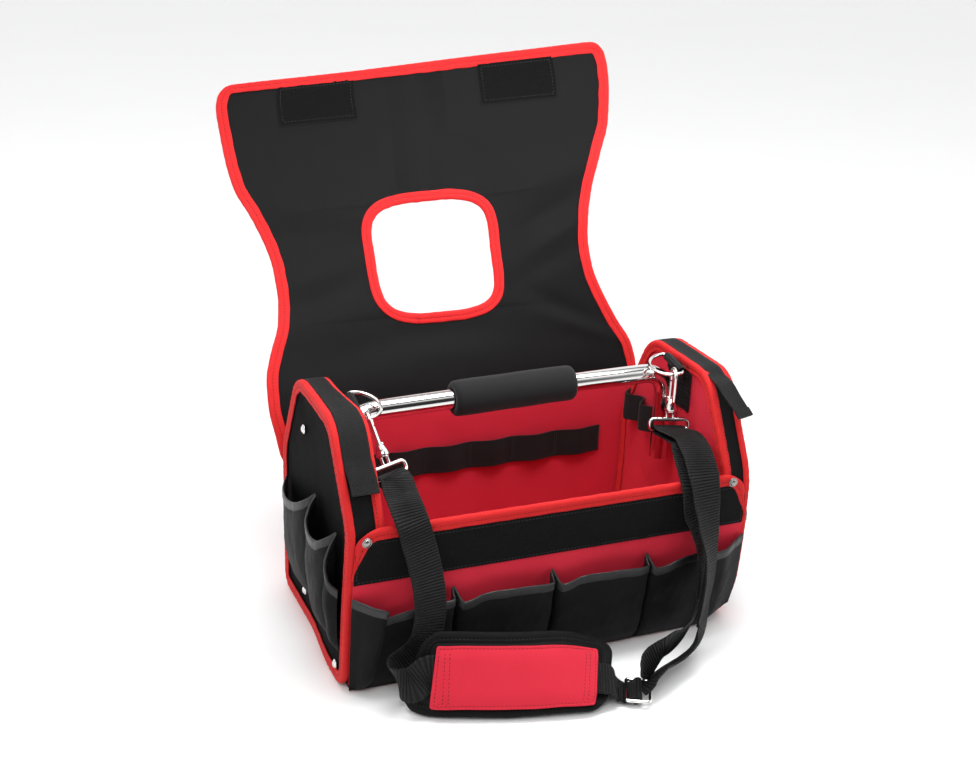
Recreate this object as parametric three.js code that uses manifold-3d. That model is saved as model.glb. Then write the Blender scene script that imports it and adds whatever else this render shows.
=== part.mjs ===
// Open-top tool bag: two boxed ends, front and back walls, a lid flap that is
// folded open behind it, a tubular handle and a clip-on shoulder strap.
// Millimetres, +Z up, front at -Y, origin at the centre of the bag's bottom.
import * as THREE from 'three';
import { mergeVertices } from 'three/addons/utils/BufferGeometryUtils.js';
import Module from 'manifold-3d';

const wasm = await Module();
wasm.setup();

// ---------------------------------------------------------------- sizes
const GAP = 0.3;                 // play between neighbouring pieces
const BASE_T = 2.7;              // bottom board with its cover
const WALL_T = 2.5;              // front and back walls
const WALL_Y = 111.5;            // outer face of the front and back walls
const WALL_X = 195.8;            // half width of the front and back walls
const FRONT_TOP = 161;           // top of the front wall
const BACK_TOP = 184;            // top of the back wall
const OUTER_IN = 199.0;          // end boxes, distances from the middle
const OUTER_OUT = 201.4;
const GUSSET_IN = 179.6;
const GUSSET_OUT = 198.7;
const INNER_IN = 176.9;
const INNER_OUT = 179.3;
const GUSSET_T = 2.0;
const BINDING_T = 2.3;           // rim of a binding outside the edge it covers
const BINDING_W = 9;             // how far a binding reaches over a face
const TUBE_R = 9.5;              // handle tube
const TUBE_Z = 233.5;
const TUBE_LEG_X = 167;
const TUBE_LEG_Z = 140;          // lower end of the legs
const TUBE_BEND = 25;
const GRIP_R = 17.5;
const GRIP_LEN = 127;
const RING_WIRE = 1.8;           // D ring wire radius
const RING_HALF = 20;            // half of the D ring's straight side
const RING_SIDE = 5;             // straight part of its two sides
const HOOK_LEN = 57;             // from the ring wire to the strap bar
const HOOK_BAR = 2.0;            // radius of the bars of the hook's base
const HOOK_BASE_HALF = 20;
const WEB_W = 32;                // shoulder strap webbing
const WEB_T = 1.6;
const PAD_W = 76;
const PAD_T = 8;
const PAD_STEPS = 6;             // sections between two rows of the pad's path
const FLAP_T = 2.2;
const CLOTH_T = 1.4;

// Outline of an end box seen from the side, with a corner radius per row.
const END_CORNERS = [
  { y: -107.0, z: 3.3, r: 14 },
  { y: -108.7, z: 158, r: 40 },
  { y: -57, z: 247.5, r: 26 },
  { y: 57, z: 247.5, r: 26 },
  { y: 108.7, z: 158, r: 40 },
  { y: 107.0, z: 3.3, r: 14 },
];

// Lid flap, a row per section from its sewn edge to its free edge: height
// along the cloth from the top of the back wall, both edges, lean of each edge.
const FLAP_SECTIONS = [
  { v: -56, left: -192, right: 188, leanL: 0, leanR: 0, w0: 0.33, w1: 0.67 },
  { v: -46, left: -201, right: 195, leanL: 0, leanR: 0, w0: 0.33, w1: 0.67 },
  { v: -20, left: -207, right: 197, leanL: 2, leanR: 0, w0: 0.33, w1: 0.67 },
  { v: 10, left: -212, right: 197, leanL: 14, leanR: 8, w0: 0.34, w1: 0.66 },
  { v: 35, left: -211, right: 192, leanL: 24, leanR: 13, w0: 0.35, w1: 0.65 },
  { v: 62, left: -203, right: 177, leanL: 30, leanR: 16, w0: 0.36, w1: 0.64 },
  { v: 93, left: -190, right: 162, leanL: 35, leanR: 18, w0: 0.375, w1: 0.63 },
  { v: 103, left: -188, right: 158, leanL: 36, leanR: 19, w0: 0.315, w1: 0.69 },
  { v: 124, left: -185, right: 152, leanL: 36, leanR: 19, w0: 0.295, w1: 0.71 },
  { v: 152, left: -185, right: 150, leanL: 36, leanR: 20, w0: 0.29, w1: 0.712 },
  { v: 180, left: -189, right: 153, leanL: 36, leanR: 20, w0: 0.295, w1: 0.705 },
  { v: 200, left: -195, right: 158, leanL: 36, leanR: 19, w0: 0.315, w1: 0.69 },
  { v: 211, left: -199, right: 161, leanL: 36, leanR: 19, w0: 0.375, w1: 0.63 },
  { v: 242, left: -211, right: 173, leanL: 36, leanR: 19, w0: 0.36, w1: 0.64 },
  { v: 275, left: -215, right: 186, leanL: 36, leanR: 19, w0: 0.35, w1: 0.65 },
  { v: 326, left: -216, right: 191, leanL: 36, leanR: 19, w0: 0.34, w1: 0.66 },
  { v: 348, left: -211, right: 188, leanL: 36, leanR: 19, w0: 0.33, w1: 0.67 },
  { v: 357, left: -201, right: 179, leanL: 36, leanR: 19, w0: 0.33, w1: 0.67 },
];
// Columns across the flap, as shares of the way to the window and over it.
const FLAP_COLUMNS = [
  { left: 0 }, { left: 0.4 }, { left: 0.75 }, { window: 0 }, { window: 0.5 },
  { window: 1 }, { right: 0.75 }, { right: 0.4 }, { right: 0 },
];
const FLAP_Y = 113.6;            // flap cloth behind the back wall
const WINDOW = { v0: 93, v1: 211, c0: 3, c1: 5 };   // rows and columns left out
const FLAP_PATCHES = [
  { node: 'flap_hook_patch_left', t0: 0.15, t1: 0.345, v0: 306, v1: 344 },
  { node: 'flap_hook_patch_right', t0: 0.67, t1: 0.865, v0: 306, v1: 344 },
];

// Front pockets, a row per fold: place, how far the cloth stands out, top edge.
const FRONT_FOLDS = [
  { x: -195, out: 2.5, top: 98 },
  { x: -182, out: 8, top: 92 },
  { x: -166, out: 16, top: 85 },
  { x: -156, out: 19, top: 80 },
  { x: -148, out: 8, top: 83 },
  { x: -126, out: 11, top: 84 },
  { x: -110, out: 9, top: 87 },
  { x: -103, out: 2.5, top: 93 },
  { x: -96, out: 10, top: 84 },
  { x: -76, out: 15, top: 81 },
  { x: -46, out: 17, top: 81 },
  { x: -20, out: 14, top: 83 },
  { x: -7, out: 9, top: 87 },
  { x: -1, out: 2.5, top: 94 },
  { x: 6, out: 10, top: 85 },
  { x: 26, out: 15, top: 82 },
  { x: 54, out: 17, top: 82 },
  { x: 80, out: 14, top: 83 },
  { x: 94, out: 9, top: 87 },
  { x: 101, out: 2.5, top: 94 },
  { x: 108, out: 10, top: 85 },
  { x: 128, out: 13, top: 83 },
  { x: 148, out: 11, top: 83 },
  { x: 158, out: 17, top: 81 },
  { x: 168, out: 15, top: 85 },
  { x: 183, out: 8, top: 92 },
  { x: 195, out: 2.5, top: 97 },
];
// Pockets on an end, one strip of cloth from back to front, a row per fold.
const END_FOLDS = [
  { y: 94, out: 2.5, top: 136 },
  { y: 84, out: 8, top: 127 },
  { y: 62, out: 13, top: 122 },
  { y: 38, out: 15, top: 124 },
  { y: 17, out: 11, top: 131 },
  { y: 7, out: 7, top: 140 },
  { y: 0, out: 2.5, top: 150 },
  { y: -6, out: 9, top: 141 },
  { y: -18, out: 14, top: 131 },
  { y: -38, out: 16, top: 126 },
  { y: -55, out: 12, top: 129 },
  { y: -63, out: 8, top: 134 },
  { y: -69, out: 2.5, top: 140 },
  { y: -74, out: 9, top: 129 },
  { y: -82, out: 13, top: 116 },
  { y: -91, out: 10, top: 105 },
  { y: -96.5, out: 3, top: 99 },
];
// How pockets swell from their sewn bottom to the open top.
const SWELL = [
  { h: 0, share: 0.1 },
  { h: 0.14, share: 0.62 },
  { h: 0.5, share: 0.92 },
  { h: 1, share: 1 },
];
const END_POCKET_BOTTOM = 36;

// Rivets on an end and at the front corners.
const END_RIVETS = [
  { name: 'top', y: 30, z: 204 },
  { name: 'back', y: 42, z: 26 },
  { name: 'front', y: -80, z: 17.5 },
];
const RIVET_R = 4.2;
const FRONT_RIVET = { x: 187.5, z: 150.5 };

// Free front ends of the webbing laid over the end boxes.
const TOP_STRAP_ENDS = [
  { side: 'left', x: -187, y: -99, z: 186 },
  { side: 'left', x: -187.2, y: -93, z: 193.5 },
  { side: 'right', x: 200, y: -99, z: 209 },
  { side: 'right', x: 189.5, y: -87, z: 214 },
];

// Clip hooks, a row per side: bar of the D ring, its slopes, the lie of the
// hook, its turn about its own length, the turn of its base and the place of
// the hook round the ring's bow.
const CLIPS = [
  { side: 'left', s: -1, ringX: 168.5, ringY: -17, ringZ: 244, dip: 15.6, tilt: 6, lie: [12.5, -27, -51], turn: -23, swivel: 39, bow: 10, lead: [0.02, -0.86, -0.2] },
  { side: 'right', s: 1, ringX: 168.5, ringY: -14, ringZ: 247, dip: 9, tilt: 6, lie: [-3.5, -4.3, -51], turn: -15, swivel: 2, bow: 15, lead: [0.05, -1, 0.02] },
];

// Shoulder strap, a row per bend: place of the middle of the webbing and the
// way its width points.
const STRAP_LEFT = [
  { x: -147, y: -86, z: 184, wx: 0.98, wy: 0.15, wz: 0.05 },
  { x: -148.5, y: -105, z: 179.5, wx: 1, wy: 0.05, wz: 0.05 },
  { x: -147, y: -116.5, z: 170, wx: 1, wy: 0.05, wz: 0 },
  { x: -142, y: -121, z: 150, wx: 1, wy: 0.05, wz: 0 },
  { x: -136, y: -127, z: 121, wx: 1, wy: 0.1, wz: 0 },
  { x: -134, y: -133, z: 97, wx: 1, wy: 0.1, wz: 0 },
  { x: -134, y: -134, z: 80, wx: 1, wy: 0.1, wz: 0 },
  { x: -137, y: -134, z: 62, wx: 0.97, wy: 0.15, wz: -0.15 },
  { x: -147, y: -134, z: 46, wx: 0.75, wy: 0.1, wz: -0.65 },
  { x: -160, y: -134.5, z: 34, wx: 0.35, wy: 0.1, wz: -0.93 },
  { x: -172, y: -136, z: 28, wx: 0, wy: 0.1, wz: -1 },
  { x: -180, y: -143, z: 26, wx: 0.05, wy: 0, wz: -1 },
  { x: -178, y: -155.5, z: 27.5, wx: 0, wy: -0.15, wz: -0.98 },
  { x: -168, y: -164.5, z: 32, wx: -0.05, wy: -0.25, wz: -0.96 },
];
// The part of it laid along the pad: share of the pad's length, offset across
// the pad and lift off its middle.
const PAD_RUN = [
  { u: 0.11, across: 0, lift: 8.2 },
  { u: 0.2, across: 1, lift: 6.2 },
  { u: 0.6, across: -1, lift: 5.9 },
  { u: 0.86, across: -4, lift: 6.4 },
  { u: 1, across: -6, lift: 6.4 },
];
const STRAP_TO_SLIDE = [
  { x: 27.8, y: -200.2, z: 16.5, wx: -0.4, wy: -0.84, wz: -0.36 },
];
const STRAP_RIGHT_FRONT = [
  { x: 157, y: -72, z: 192, wx: 0.98, wy: 0.2, wz: 0 },
  { x: 157, y: -100, z: 184, wx: 0.99, wy: 0.1, wz: 0 },
  { x: 156, y: -118.5, z: 169, wx: 1, wy: 0.05, wz: 0 },
  { x: 155, y: -125, z: 145, wx: 1, wy: 0.05, wz: 0 },
  { x: 156.5, y: -133, z: 122, wx: 1, wy: 0.1, wz: 0 },
  { x: 155, y: -143, z: 104, wx: 0.95, wy: 0.3, wz: 0 },
  { x: 151, y: -151, z: 84, wx: 0.72, wy: 0.68, wz: 0 },
  { x: 143, y: -156, z: 67, wx: 0.5, wy: 0.85, wz: -0.15 },
  { x: 135.5, y: -162.5, z: 53, wx: 0.35, wy: 0.82, wz: -0.45 },
  { x: 134, y: -169, z: 38, wx: 0, wy: 0.5, wz: -0.8 },
  { x: 124, y: -176, z: 26, wx: -0.3, wy: 0.1, wz: -0.95 },
  { x: 99, y: -188, z: 19, wx: -0.23, wy: 0.74, wz: -0.63 },
  { x: 78, y: -199, z: 13, wx: 0.15, wy: 0.95, wz: 0 },
  { x: 64, y: -206, z: 9.5, wx: 0.36, wy: 0.86, wz: 0.3 },
];
const STRAP_RIGHT_BACK = [
  { x: 157, y: -72, z: 186, wx: 0.98, wy: 0.2, wz: 0 },
  { x: 157, y: -98, z: 178.5, wx: 0.99, wy: 0.1, wz: 0 },
  { x: 158, y: -116.8, z: 163, wx: 1, wy: 0.05, wz: 0 },
  { x: 159, y: -119.5, z: 142, wx: 1, wy: 0.05, wz: 0 },
  { x: 162, y: -126, z: 114, wx: 1, wy: 0.05, wz: 0 },
  { x: 160, y: -139, z: 87, wx: 0.95, wy: 0.3, wz: 0 },
  { x: 153, y: -143.5, z: 63, wx: 0.75, wy: 0.65, wz: 0 },
  { x: 144.5, y: -146, z: 46, wx: 0.5, wy: 0.86, wz: -0.1 },
  { x: 129.5, y: -151, z: 28, wx: 0.3, wy: 0.93, wz: 0.15 },
  { x: 113.5, y: -157, z: 21.5, wx: 0.1, wy: 0.55, wz: 0.83 },
  { x: 92.5, y: -168, z: 18.5, wx: 0, wy: 0.1, wz: 1 },
  { x: 70, y: -185, z: 17.5, wx: 0.05, wy: 0.3, wz: 0.95 },
];
const PAD_PATH = [
  { x: -156, y: -149, z: 38.2, wx: 0.1, wy: 0.22, wz: 0.97 },
  { x: -138.9, y: -159.8, z: 36.2, wx: 0.14, wy: 0.42, wz: 0.9 },
  { x: -111.8, y: -168.3, z: 34.8, wx: 0.16, wy: 0.5, wz: 0.85 },
  { x: -84.1, y: -177.2, z: 33.8, wx: 0.18, wy: 0.53, wz: 0.83 },
  { x: -55.8, y: -184.9, z: 32.8, wx: 0.2, wy: 0.56, wz: 0.8 },
  { x: -25.3, y: -189.3, z: 29.6, wx: 0.27, wy: 0.66, wz: 0.7 },
  { x: 4.5, y: -191.8, z: 22, wx: 0.34, wy: 0.8, wz: 0.49 },
  { x: 20, y: -194.5, z: 18.4, wx: 0.38, wy: 0.85, wz: 0.37 },
];
// Patch sewn over the webbing on the pad.
const PATCH_RUN = [
  { u: 0.14, across: -3, lift: 9.4 },
  { u: 0.6, across: -3, lift: 8.2 },
  { u: 0.86, across: -3, lift: 9.2 },
];
const PATCH_W = 56;
const SLIDE = { x: 45, y: -203.5, z: 12, halfW: 20, halfL: 13, bar: 3, t: 2.6 };

// ------------------------------------------------------------ materials
const mat = (color, roughness, metalness = 0) =>
  new THREE.MeshStandardMaterial({ color, roughness, metalness });
const RED_TAPE = mat(0xdf2329, 0.75);
const RED_CLOTH = mat(0xb4122a, 0.85);
const BLACK_CLOTH = mat(0x1a1a1c, 0.85);
const BLACK_WEB = mat(0x111113, 0.9);
const LOOP_PILE = mat(0x0c0c0d, 1.0);
const ELASTIC = mat(0x18181a, 0.9);
const FOAM = mat(0x151516, 0.95);
const CHROME = mat(0xd4d6d8, 0.12, 1);

const bag = new THREE.Group();
const V = (x, y, z) => new THREE.Vector3(x, y, z);

// ------------------------------------------------------------- helpers
function signedVolume(g) {
  const p = g.attributes.position, ix = g.index;
  const a = V(), b = V(), c = V();
  let vol = 0;
  for (let i = 0; i < ix.count; i += 3) {
    a.fromBufferAttribute(p, ix.getX(i));
    b.fromBufferAttribute(p, ix.getX(i + 1));
    c.fromBufferAttribute(p, ix.getX(i + 2));
    vol += a.dot(b.cross(c)) / 6;
  }
  return vol;
}

// Shared vertices are joined and the faces are turned outwards.
function closed(g) {
  g.deleteAttribute('normal');
  g.deleteAttribute('uv');
  const m = mergeVertices(g, 1e-4);
  if (signedVolume(m) < 0) {
    const ix = m.index;
    for (let i = 0; i < ix.count; i += 3) {
      const t = ix.getX(i + 1);
      ix.setX(i + 1, ix.getX(i + 2));
      ix.setX(i + 2, t);
    }
  }
  m.computeVertexNormals();
  return m;
}

function fromArrays(pos, idx) {
  const g = new THREE.BufferGeometry();
  g.setAttribute('position', new THREE.Float32BufferAttribute(pos, 3));
  g.setIndex(idx);
  return closed(g);
}

function add(name, geometry, material, parent = bag) {
  const mesh = new THREE.Mesh(closed(geometry), material);
  mesh.name = name;
  parent.add(mesh);
  return mesh;
}

// Rings of equal count joined into one body; an open run gets flat ends.
function loft(rings, loop = false) {
  const n = rings[0].length, m = rings.length, pos = [], idx = [];
  for (const r of rings) for (const p of r) pos.push(p.x, p.y, p.z);
  for (let i = 0; i < (loop ? m : m - 1); i++) {
    const a = i * n, b = ((i + 1) % m) * n;
    for (let j = 0; j < n; j++) {
      const k = (j + 1) % n;
      idx.push(a + j, a + k, b + k, a + j, b + k, b + j);
    }
  }
  if (!loop) {
    const e = (m - 1) * n;
    for (let j = 1; j < n - 1; j++) {
      idx.push(0, j + 1, j);
      idx.push(e, e + j, e + j + 1);
    }
  }
  return fromArrays(pos, idx);
}

// A cloth sheet: a grid of points given a thickness along a direction per
// point, with cells left out where a window goes through.
function sheet(grid, dirs, t0, t1, skip = () => false) {
  const rows = grid.length, cols = grid[0].length, pos = [], idx = [], seen = new Map();
  const id = (i, j, k) => {
    const key = (i * cols + j) * 2 + k;
    if (!seen.has(key)) {
      const p = grid[i][j].clone().addScaledVector(dirs[i][j], k ? t1 : t0);
      seen.set(key, pos.length / 3);
      pos.push(p.x, p.y, p.z);
    }
    return seen.get(key);
  };
  const has = (i, j) => i >= 0 && j >= 0 && i < rows - 1 && j < cols - 1 && !skip(i, j);
  const quad = (a, b, c, d) => idx.push(a, b, c, a, c, d);
  for (let i = 0; i < rows - 1; i++) for (let j = 0; j < cols - 1; j++) {
    if (!has(i, j)) continue;
    quad(id(i, j, 1), id(i, j + 1, 1), id(i + 1, j + 1, 1), id(i + 1, j, 1));
    quad(id(i, j, 0), id(i + 1, j, 0), id(i + 1, j + 1, 0), id(i, j + 1, 0));
    if (!has(i - 1, j)) quad(id(i, j, 0), id(i, j + 1, 0), id(i, j + 1, 1), id(i, j, 1));
    if (!has(i + 1, j)) quad(id(i + 1, j + 1, 0), id(i + 1, j, 0), id(i + 1, j, 1), id(i + 1, j + 1, 1));
    if (!has(i, j - 1)) quad(id(i + 1, j, 0), id(i, j, 0), id(i, j, 1), id(i + 1, j, 1));
    if (!has(i, j + 1)) quad(id(i, j + 1, 0), id(i + 1, j + 1, 0), id(i + 1, j + 1, 1), id(i, j + 1, 1));
  }
  return fromArrays(pos, idx);
}

// Pocket cloth: fold rows with a softer point between wide ones, at the given
// shares of the pocket's height.
function pocketGrid(folds, bottom, heights, spot) {
  const along = folds.flatMap((r, i) => {
    const b = folds[i + 1];
    if (!b) return [r];
    const mid = {};
    for (const key of Object.keys(r)) mid[key] = (r[key] + b[key]) / 2;
    const span = Math.abs((b.x ?? b.y) - (r.x ?? r.y));
    if (span <= 12) return [r];
    mid.out += 1;
    mid.top -= 0.6;
    return [r, mid];
  });
  return heights.map((h) => along.map((r) => {
    const k = SWELL.findIndex((q) => q.h >= h);
    const a = SWELL[Math.max(0, k - 1)], b = SWELL[k];
    const f = b.h > a.h ? (h - a.h) / (b.h - a.h) : 0;
    const out = Math.max(0.9, r.out * (a.share + (b.share - a.share) * f));
    return spot(r, out, bottom + (r.top - bottom) * h);
  }));
}

// A rounded polygon from corner rows.
function roundedLoop(corners, segs) {
  const pts = [], n = corners.length;
  corners.forEach((c, i) => {
    const at = new THREE.Vector2(c.y, c.z);
    const a = corners[(i + n - 1) % n], b = corners[(i + 1) % n];
    const da = new THREE.Vector2(a.y, a.z).sub(at), db = new THREE.Vector2(b.y, b.z).sub(at);
    const la = da.length(), lb = db.length();
    da.normalize(); db.normalize();
    const half = Math.acos(THREE.MathUtils.clamp(da.dot(db), -1, 1)) / 2;
    const t = Math.min(c.r / Math.tan(half), la * 0.48, lb * 0.48);
    const curve = new THREE.QuadraticBezierCurve(
      at.clone().addScaledVector(da, t), at.clone(), at.clone().addScaledVector(db, t));
    for (let k = 0; k <= segs; k++) pts.push(curve.getPoint(k / segs));
  });
  return pts;
}

// Mitred outward directions of a closed loop of 2D points.
function outward(loop) {
  const n = loop.length;
  const area = loop.reduce((s, p, i) => {
    const q = loop[(i + 1) % n];
    return s + p.x * q.y - q.x * p.y;
  }, 0);
  const sgn = area > 0 ? 1 : -1;
  const edge = loop.map((p, i) => {
    const q = loop[(i + 1) % n], d = q.clone().sub(p).normalize();
    return new THREE.Vector2(d.y * sgn, -d.x * sgn);
  });
  return loop.map((p, i) => {
    const a = edge[(i + n - 1) % n], b = edge[i];
    const m = a.clone().add(b).normalize();
    return m.multiplyScalar(1 / Math.max(0.4, m.dot(b)));
  });
}

const END_LOOP = roundedLoop(END_CORNERS, 4);
const END_OUT = outward(END_LOOP);
const endAt = (i, d) => END_LOOP[i].clone().addScaledVector(END_OUT[i], d);

// A flat plate in the end's plane, between two distances from the middle.
function endPlate(s, x0, x1) {
  const shape = new THREE.Shape(END_LOOP.map((p) => p.clone()));
  const g = new THREE.ExtrudeGeometry(shape, { depth: x1 - x0, bevelEnabled: false, steps: 1 });
  g.applyMatrix4(new THREE.Matrix4().makeBasis(V(0, 1, 0), V(0, 0, 1), V(1, 0, 0)));
  g.translate(s > 0 ? x0 : -x1, 0, 0);
  return g;
}

// A plate in the XZ plane between two Y values.
function wallPlate(shape, y0, y1) {
  const g = new THREE.ExtrudeGeometry(shape, { depth: y1 - y0, bevelEnabled: false, steps: 1, curveSegments: 5 });
  g.applyMatrix4(new THREE.Matrix4().makeBasis(V(1, 0, 0), V(0, 0, 1), V(0, 1, 0)));
  g.translate(0, y0, 0);
  return g;
}

function roundRect(hx, z0, z1, rTop, rBottom, path = new THREE.Shape()) {
  path.moveTo(-hx + rBottom, z0);
  path.lineTo(hx - rBottom, z0);
  path.quadraticCurveTo(hx, z0, hx, z0 + rBottom);
  path.lineTo(hx, z1 - rTop);
  path.quadraticCurveTo(hx, z1, hx - rTop, z1);
  path.lineTo(-hx + rTop, z1);
  path.quadraticCurveTo(-hx, z1, -hx, z1 - rTop);
  path.lineTo(-hx, z0 + rBottom);
  path.quadraticCurveTo(-hx, z0, -hx + rBottom, z0);
  return path;
}

function circle(r, n, cx = 0, cy = 0) {
  return Array.from({ length: n }, (_, i) => {
    const a = (i / n) * Math.PI * 2;
    return new THREE.Vector2(cx + r * Math.cos(a), cy + r * Math.sin(a));
  });
}

// Webbing or padding along a run of rows: a section of (width, thickness)
// points carried along the curve, with the width turning as the rows say.
function rail(rows) {
  const c = new THREE.CatmullRomCurve3(rows.map((r) => V(r.x, r.y, r.z)), false, 'centripetal');
  const n = rows.length - 1;
  return (u) => {
    const i = Math.min(n - 1, Math.floor(u * n + 1e-9)), f = u * n - i;
    const a = rows[i], b = rows[i + 1];
    const p = c.getPoint(u), t = c.getTangent(u);
    const w = V(a.wx, a.wy, a.wz).normalize().lerp(V(b.wx, b.wy, b.wz).normalize(), f).normalize();
    w.addScaledVector(t, -w.dot(t)).normalize();
    return { p, w, n: V().crossVectors(t, w).normalize() };
  };
}
function ribbon(rows, section, steps) {
  const at = rail(rows), n = rows.length - 1, rings = [];
  for (let i = 0; i < n; i++) {
    const k = rows[i].steps ?? steps;
    for (let j = 0; j < k || (i === n - 1 && j === k); j++) {
      const q = at((i + j / k) / n);
      rings.push(section.map(([a, b]) => q.p.clone().addScaledVector(q.w, a).addScaledVector(q.n, b)));
    }
  }
  return loft(rings);
}
const flatSection = (w, t) => [[-w / 2, -t / 2], [w / 2, -t / 2], [w / 2, t / 2], [-w / 2, t / 2]];

// The turn of a strap around a bar, from its tail to the way it leaves.
function turnAround(bar, w, lead, r, tail) {
  const d = lead.clone().addScaledVector(w, -lead.dot(w)).normalize();
  const n = V().crossVectors(d, w).normalize();
  if (n.z < 0) n.negate();
  const row = (along, up, steps) => {
    const p = bar.clone().addScaledVector(d, along).addScaledVector(n, up);
    return { x: p.x, y: p.y, z: p.z, wx: w.x, wy: w.y, wz: w.z, steps };
  };
  const rows = tail > 0 ? [row(tail, -r, 2), row(7, -r, 1)] : [];
  for (let k = 0; k <= 6; k++) {
    const a = -Math.PI / 2 + (k / 6) * Math.PI;
    rows.push(row(-r * Math.cos(a), r * Math.sin(a), 1));
  }
  rows.push(row(7, r, 2));
  return rows;
}

function toManifold(g) {
  const m = closed(g);
  return new wasm.Manifold(new wasm.Mesh({
    numProp: 3,
    vertProperties: new Float32Array(m.attributes.position.array),
    triVerts: new Uint32Array(m.index.array),
  }));
}
function fromManifold(m) {
  const out = m.getMesh();
  const pos = [];
  for (let i = 0; i < out.vertProperties.length; i += out.numProp)
    pos.push(out.vertProperties[i], out.vertProperties[i + 1], out.vertProperties[i + 2]);
  return fromArrays(pos, Array.from(out.triVerts));
}

// ------------------------------------------------------- walls and base
{
  const floor = new THREE.Shape();
  roundRect(WALL_X, -WALL_Y + 2, WALL_Y - 2, 6, 6, floor);
  const g = new THREE.ExtrudeGeometry(floor, { depth: BASE_T, bevelEnabled: false, steps: 1, curveSegments: 3 });
  add('base_panel', g, BLACK_CLOTH);
  add('front_panel', wallPlate(roundRect(WALL_X, BASE_T + GAP, FRONT_TOP, 18, 4), -WALL_Y, -WALL_Y + WALL_T), RED_CLOTH);
  add('back_panel', wallPlate(roundRect(WALL_X, BASE_T + GAP, BACK_TOP, 12, 4), WALL_Y - WALL_T, WALL_Y), RED_CLOTH);

  // Binding over the top of the front wall and round its two corners.
  const hx = WALL_X - 11.5, top = FRONT_TOP - 9.5;
  const outer = new THREE.Shape();
  outer.moveTo(-WALL_X, 136);
  outer.lineTo(-hx, 136);
  outer.lineTo(-hx, top - 9);
  outer.quadraticCurveTo(-hx, top, -hx + 9, top);
  outer.lineTo(hx - 9, top);
  outer.quadraticCurveTo(hx, top, hx, top - 9);
  outer.lineTo(hx, 136);
  outer.lineTo(WALL_X, 136);
  outer.lineTo(WALL_X, FRONT_TOP + 2 - 20);
  outer.quadraticCurveTo(WALL_X, FRONT_TOP + 2, WALL_X - 20, FRONT_TOP + 2);
  outer.lineTo(-WALL_X + 20, FRONT_TOP + 2);
  outer.quadraticCurveTo(-WALL_X, FRONT_TOP + 2, -WALL_X, FRONT_TOP + 2 - 20);
  outer.lineTo(-WALL_X, 136);
  add('front_binding', wallPlate(outer, -WALL_Y - GAP - 2, -WALL_Y - GAP), RED_TAPE);
  add('front_loop_strip', wallPlate(roundRect(hx - 0.6, 106, top - 0.6, 8.6, 5), -WALL_Y - GAP - 1.4, -WALL_Y - GAP), LOOP_PILE);
}

// ------------------------------------------------------------- end boxes
const SIDES = [{ side: 'left', s: -1 }, { side: 'right', s: 1 }];
for (const { side, s } of SIDES) {
  add(`${side}_outer_panel`, endPlate(s, OUTER_IN, OUTER_OUT), BLACK_CLOTH);
  add(`${side}_gusset`, loft(END_LOOP.map((_, i) =>
    [[-GUSSET_T, GUSSET_IN], [0, GUSSET_IN], [0, GUSSET_OUT], [-GUSSET_T, GUSSET_OUT]].map(([d, x]) => {
      const q = endAt(i, d);
      return V(s * x, q.x, q.y);
    })), true), BLACK_CLOTH);
  add(`${side}_inner_panel`, endPlate(s, INNER_IN, INNER_OUT), RED_CLOTH);

  // The outer binding laps the rim and the outer face of the end.
  const rim = GAP + BINDING_T, face = OUTER_OUT + GAP, skin = face + 1.5;
  const lap = [[GAP, 196.6], [rim, 196.6], [rim, skin], [-BINDING_W, skin], [-BINDING_W, face], [GAP, face]];
  add(`${side}_outer_binding`, loft(END_LOOP.map((_, i) => lap.map(([d, x]) => {
    const q = endAt(i, d);
    return V(s * x, q.x, q.y);
  })), true), RED_TAPE);

  // The inner binding stands over the edge where no wall covers it.
  const clear = (p) => p.y > (p.x < 0 ? FRONT_TOP + 5 : BACK_TOP + 4);
  add(`${side}_inner_binding`, loft(END_LOOP.map((p, i) => {
    const d1 = clear(p) ? rim : -0.6;
    return [[-BINDING_W, 174.7], [d1, 174.7], [d1, 176.6], [-BINDING_W, 176.6]].map(([d, x]) => {
      const q = endAt(i, d);
      return V(s * x, q.x, q.y);
    });
  }), true), RED_TAPE);

  // Webbing laid along the top of the gusset, its front end free.
  const top = roundedLoop(END_CORNERS, 4).map((p, i) => endAt(i, 1.4))
    .filter((p) => p.y > 176 && !(p.x > 0 && p.y < 215))
    .map((p) => V(s * 187.2, p.x, p.y));
  const free = TOP_STRAP_ENDS.filter((q) => q.side === side).map((q) => V(q.x, q.y, q.z));
  const line = [...free, ...top.filter((p) => p.y > -80)];
  const rows = line.map((p) => ({ x: p.x, y: p.y, z: p.z, wx: 1, wy: 0, wz: 0 }));
  add(`${side}_top_strap`, ribbon(rows, flatSection(18, 1.5), 2), BLACK_WEB);

  // Pockets on the outer face.
  const ends = pocketGrid(END_FOLDS, END_POCKET_BOTTOM, SWELL.map((q) => q.h),
    (r, out, z) => V(s * (OUTER_OUT + out), r.y, z));
  add(`${side}_pockets`, sheet(ends, ends.map((row) => row.map(() => V(s, 0, 0))), -0.5, CLOTH_T - 0.5), BLACK_CLOTH);

  // Domed rivets.
  const dome = [[0, 0], [RIVET_R, 0], [RIVET_R, 0.9], [RIVET_R * 0.6, 2.4], [0, 2.9]]
    .map(([r, h]) => new THREE.Vector2(r, h));
  for (const r of END_RIVETS) {
    const m = add(`${side}_rivet_${r.name}`, new THREE.LatheGeometry(dome, 9), CHROME);
    m.position.set(s * (OUTER_OUT + GAP), r.y, r.z);
    m.rotation.z = -s * Math.PI / 2;
  }
  const f = add(`${side}_rivet_wall`, new THREE.LatheGeometry(dome, 9), CHROME);
  f.position.set(s * FRONT_RIVET.x, -WALL_Y - GAP - 2 - GAP, FRONT_RIVET.z);
  f.rotation.x = Math.PI;
}

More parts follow.
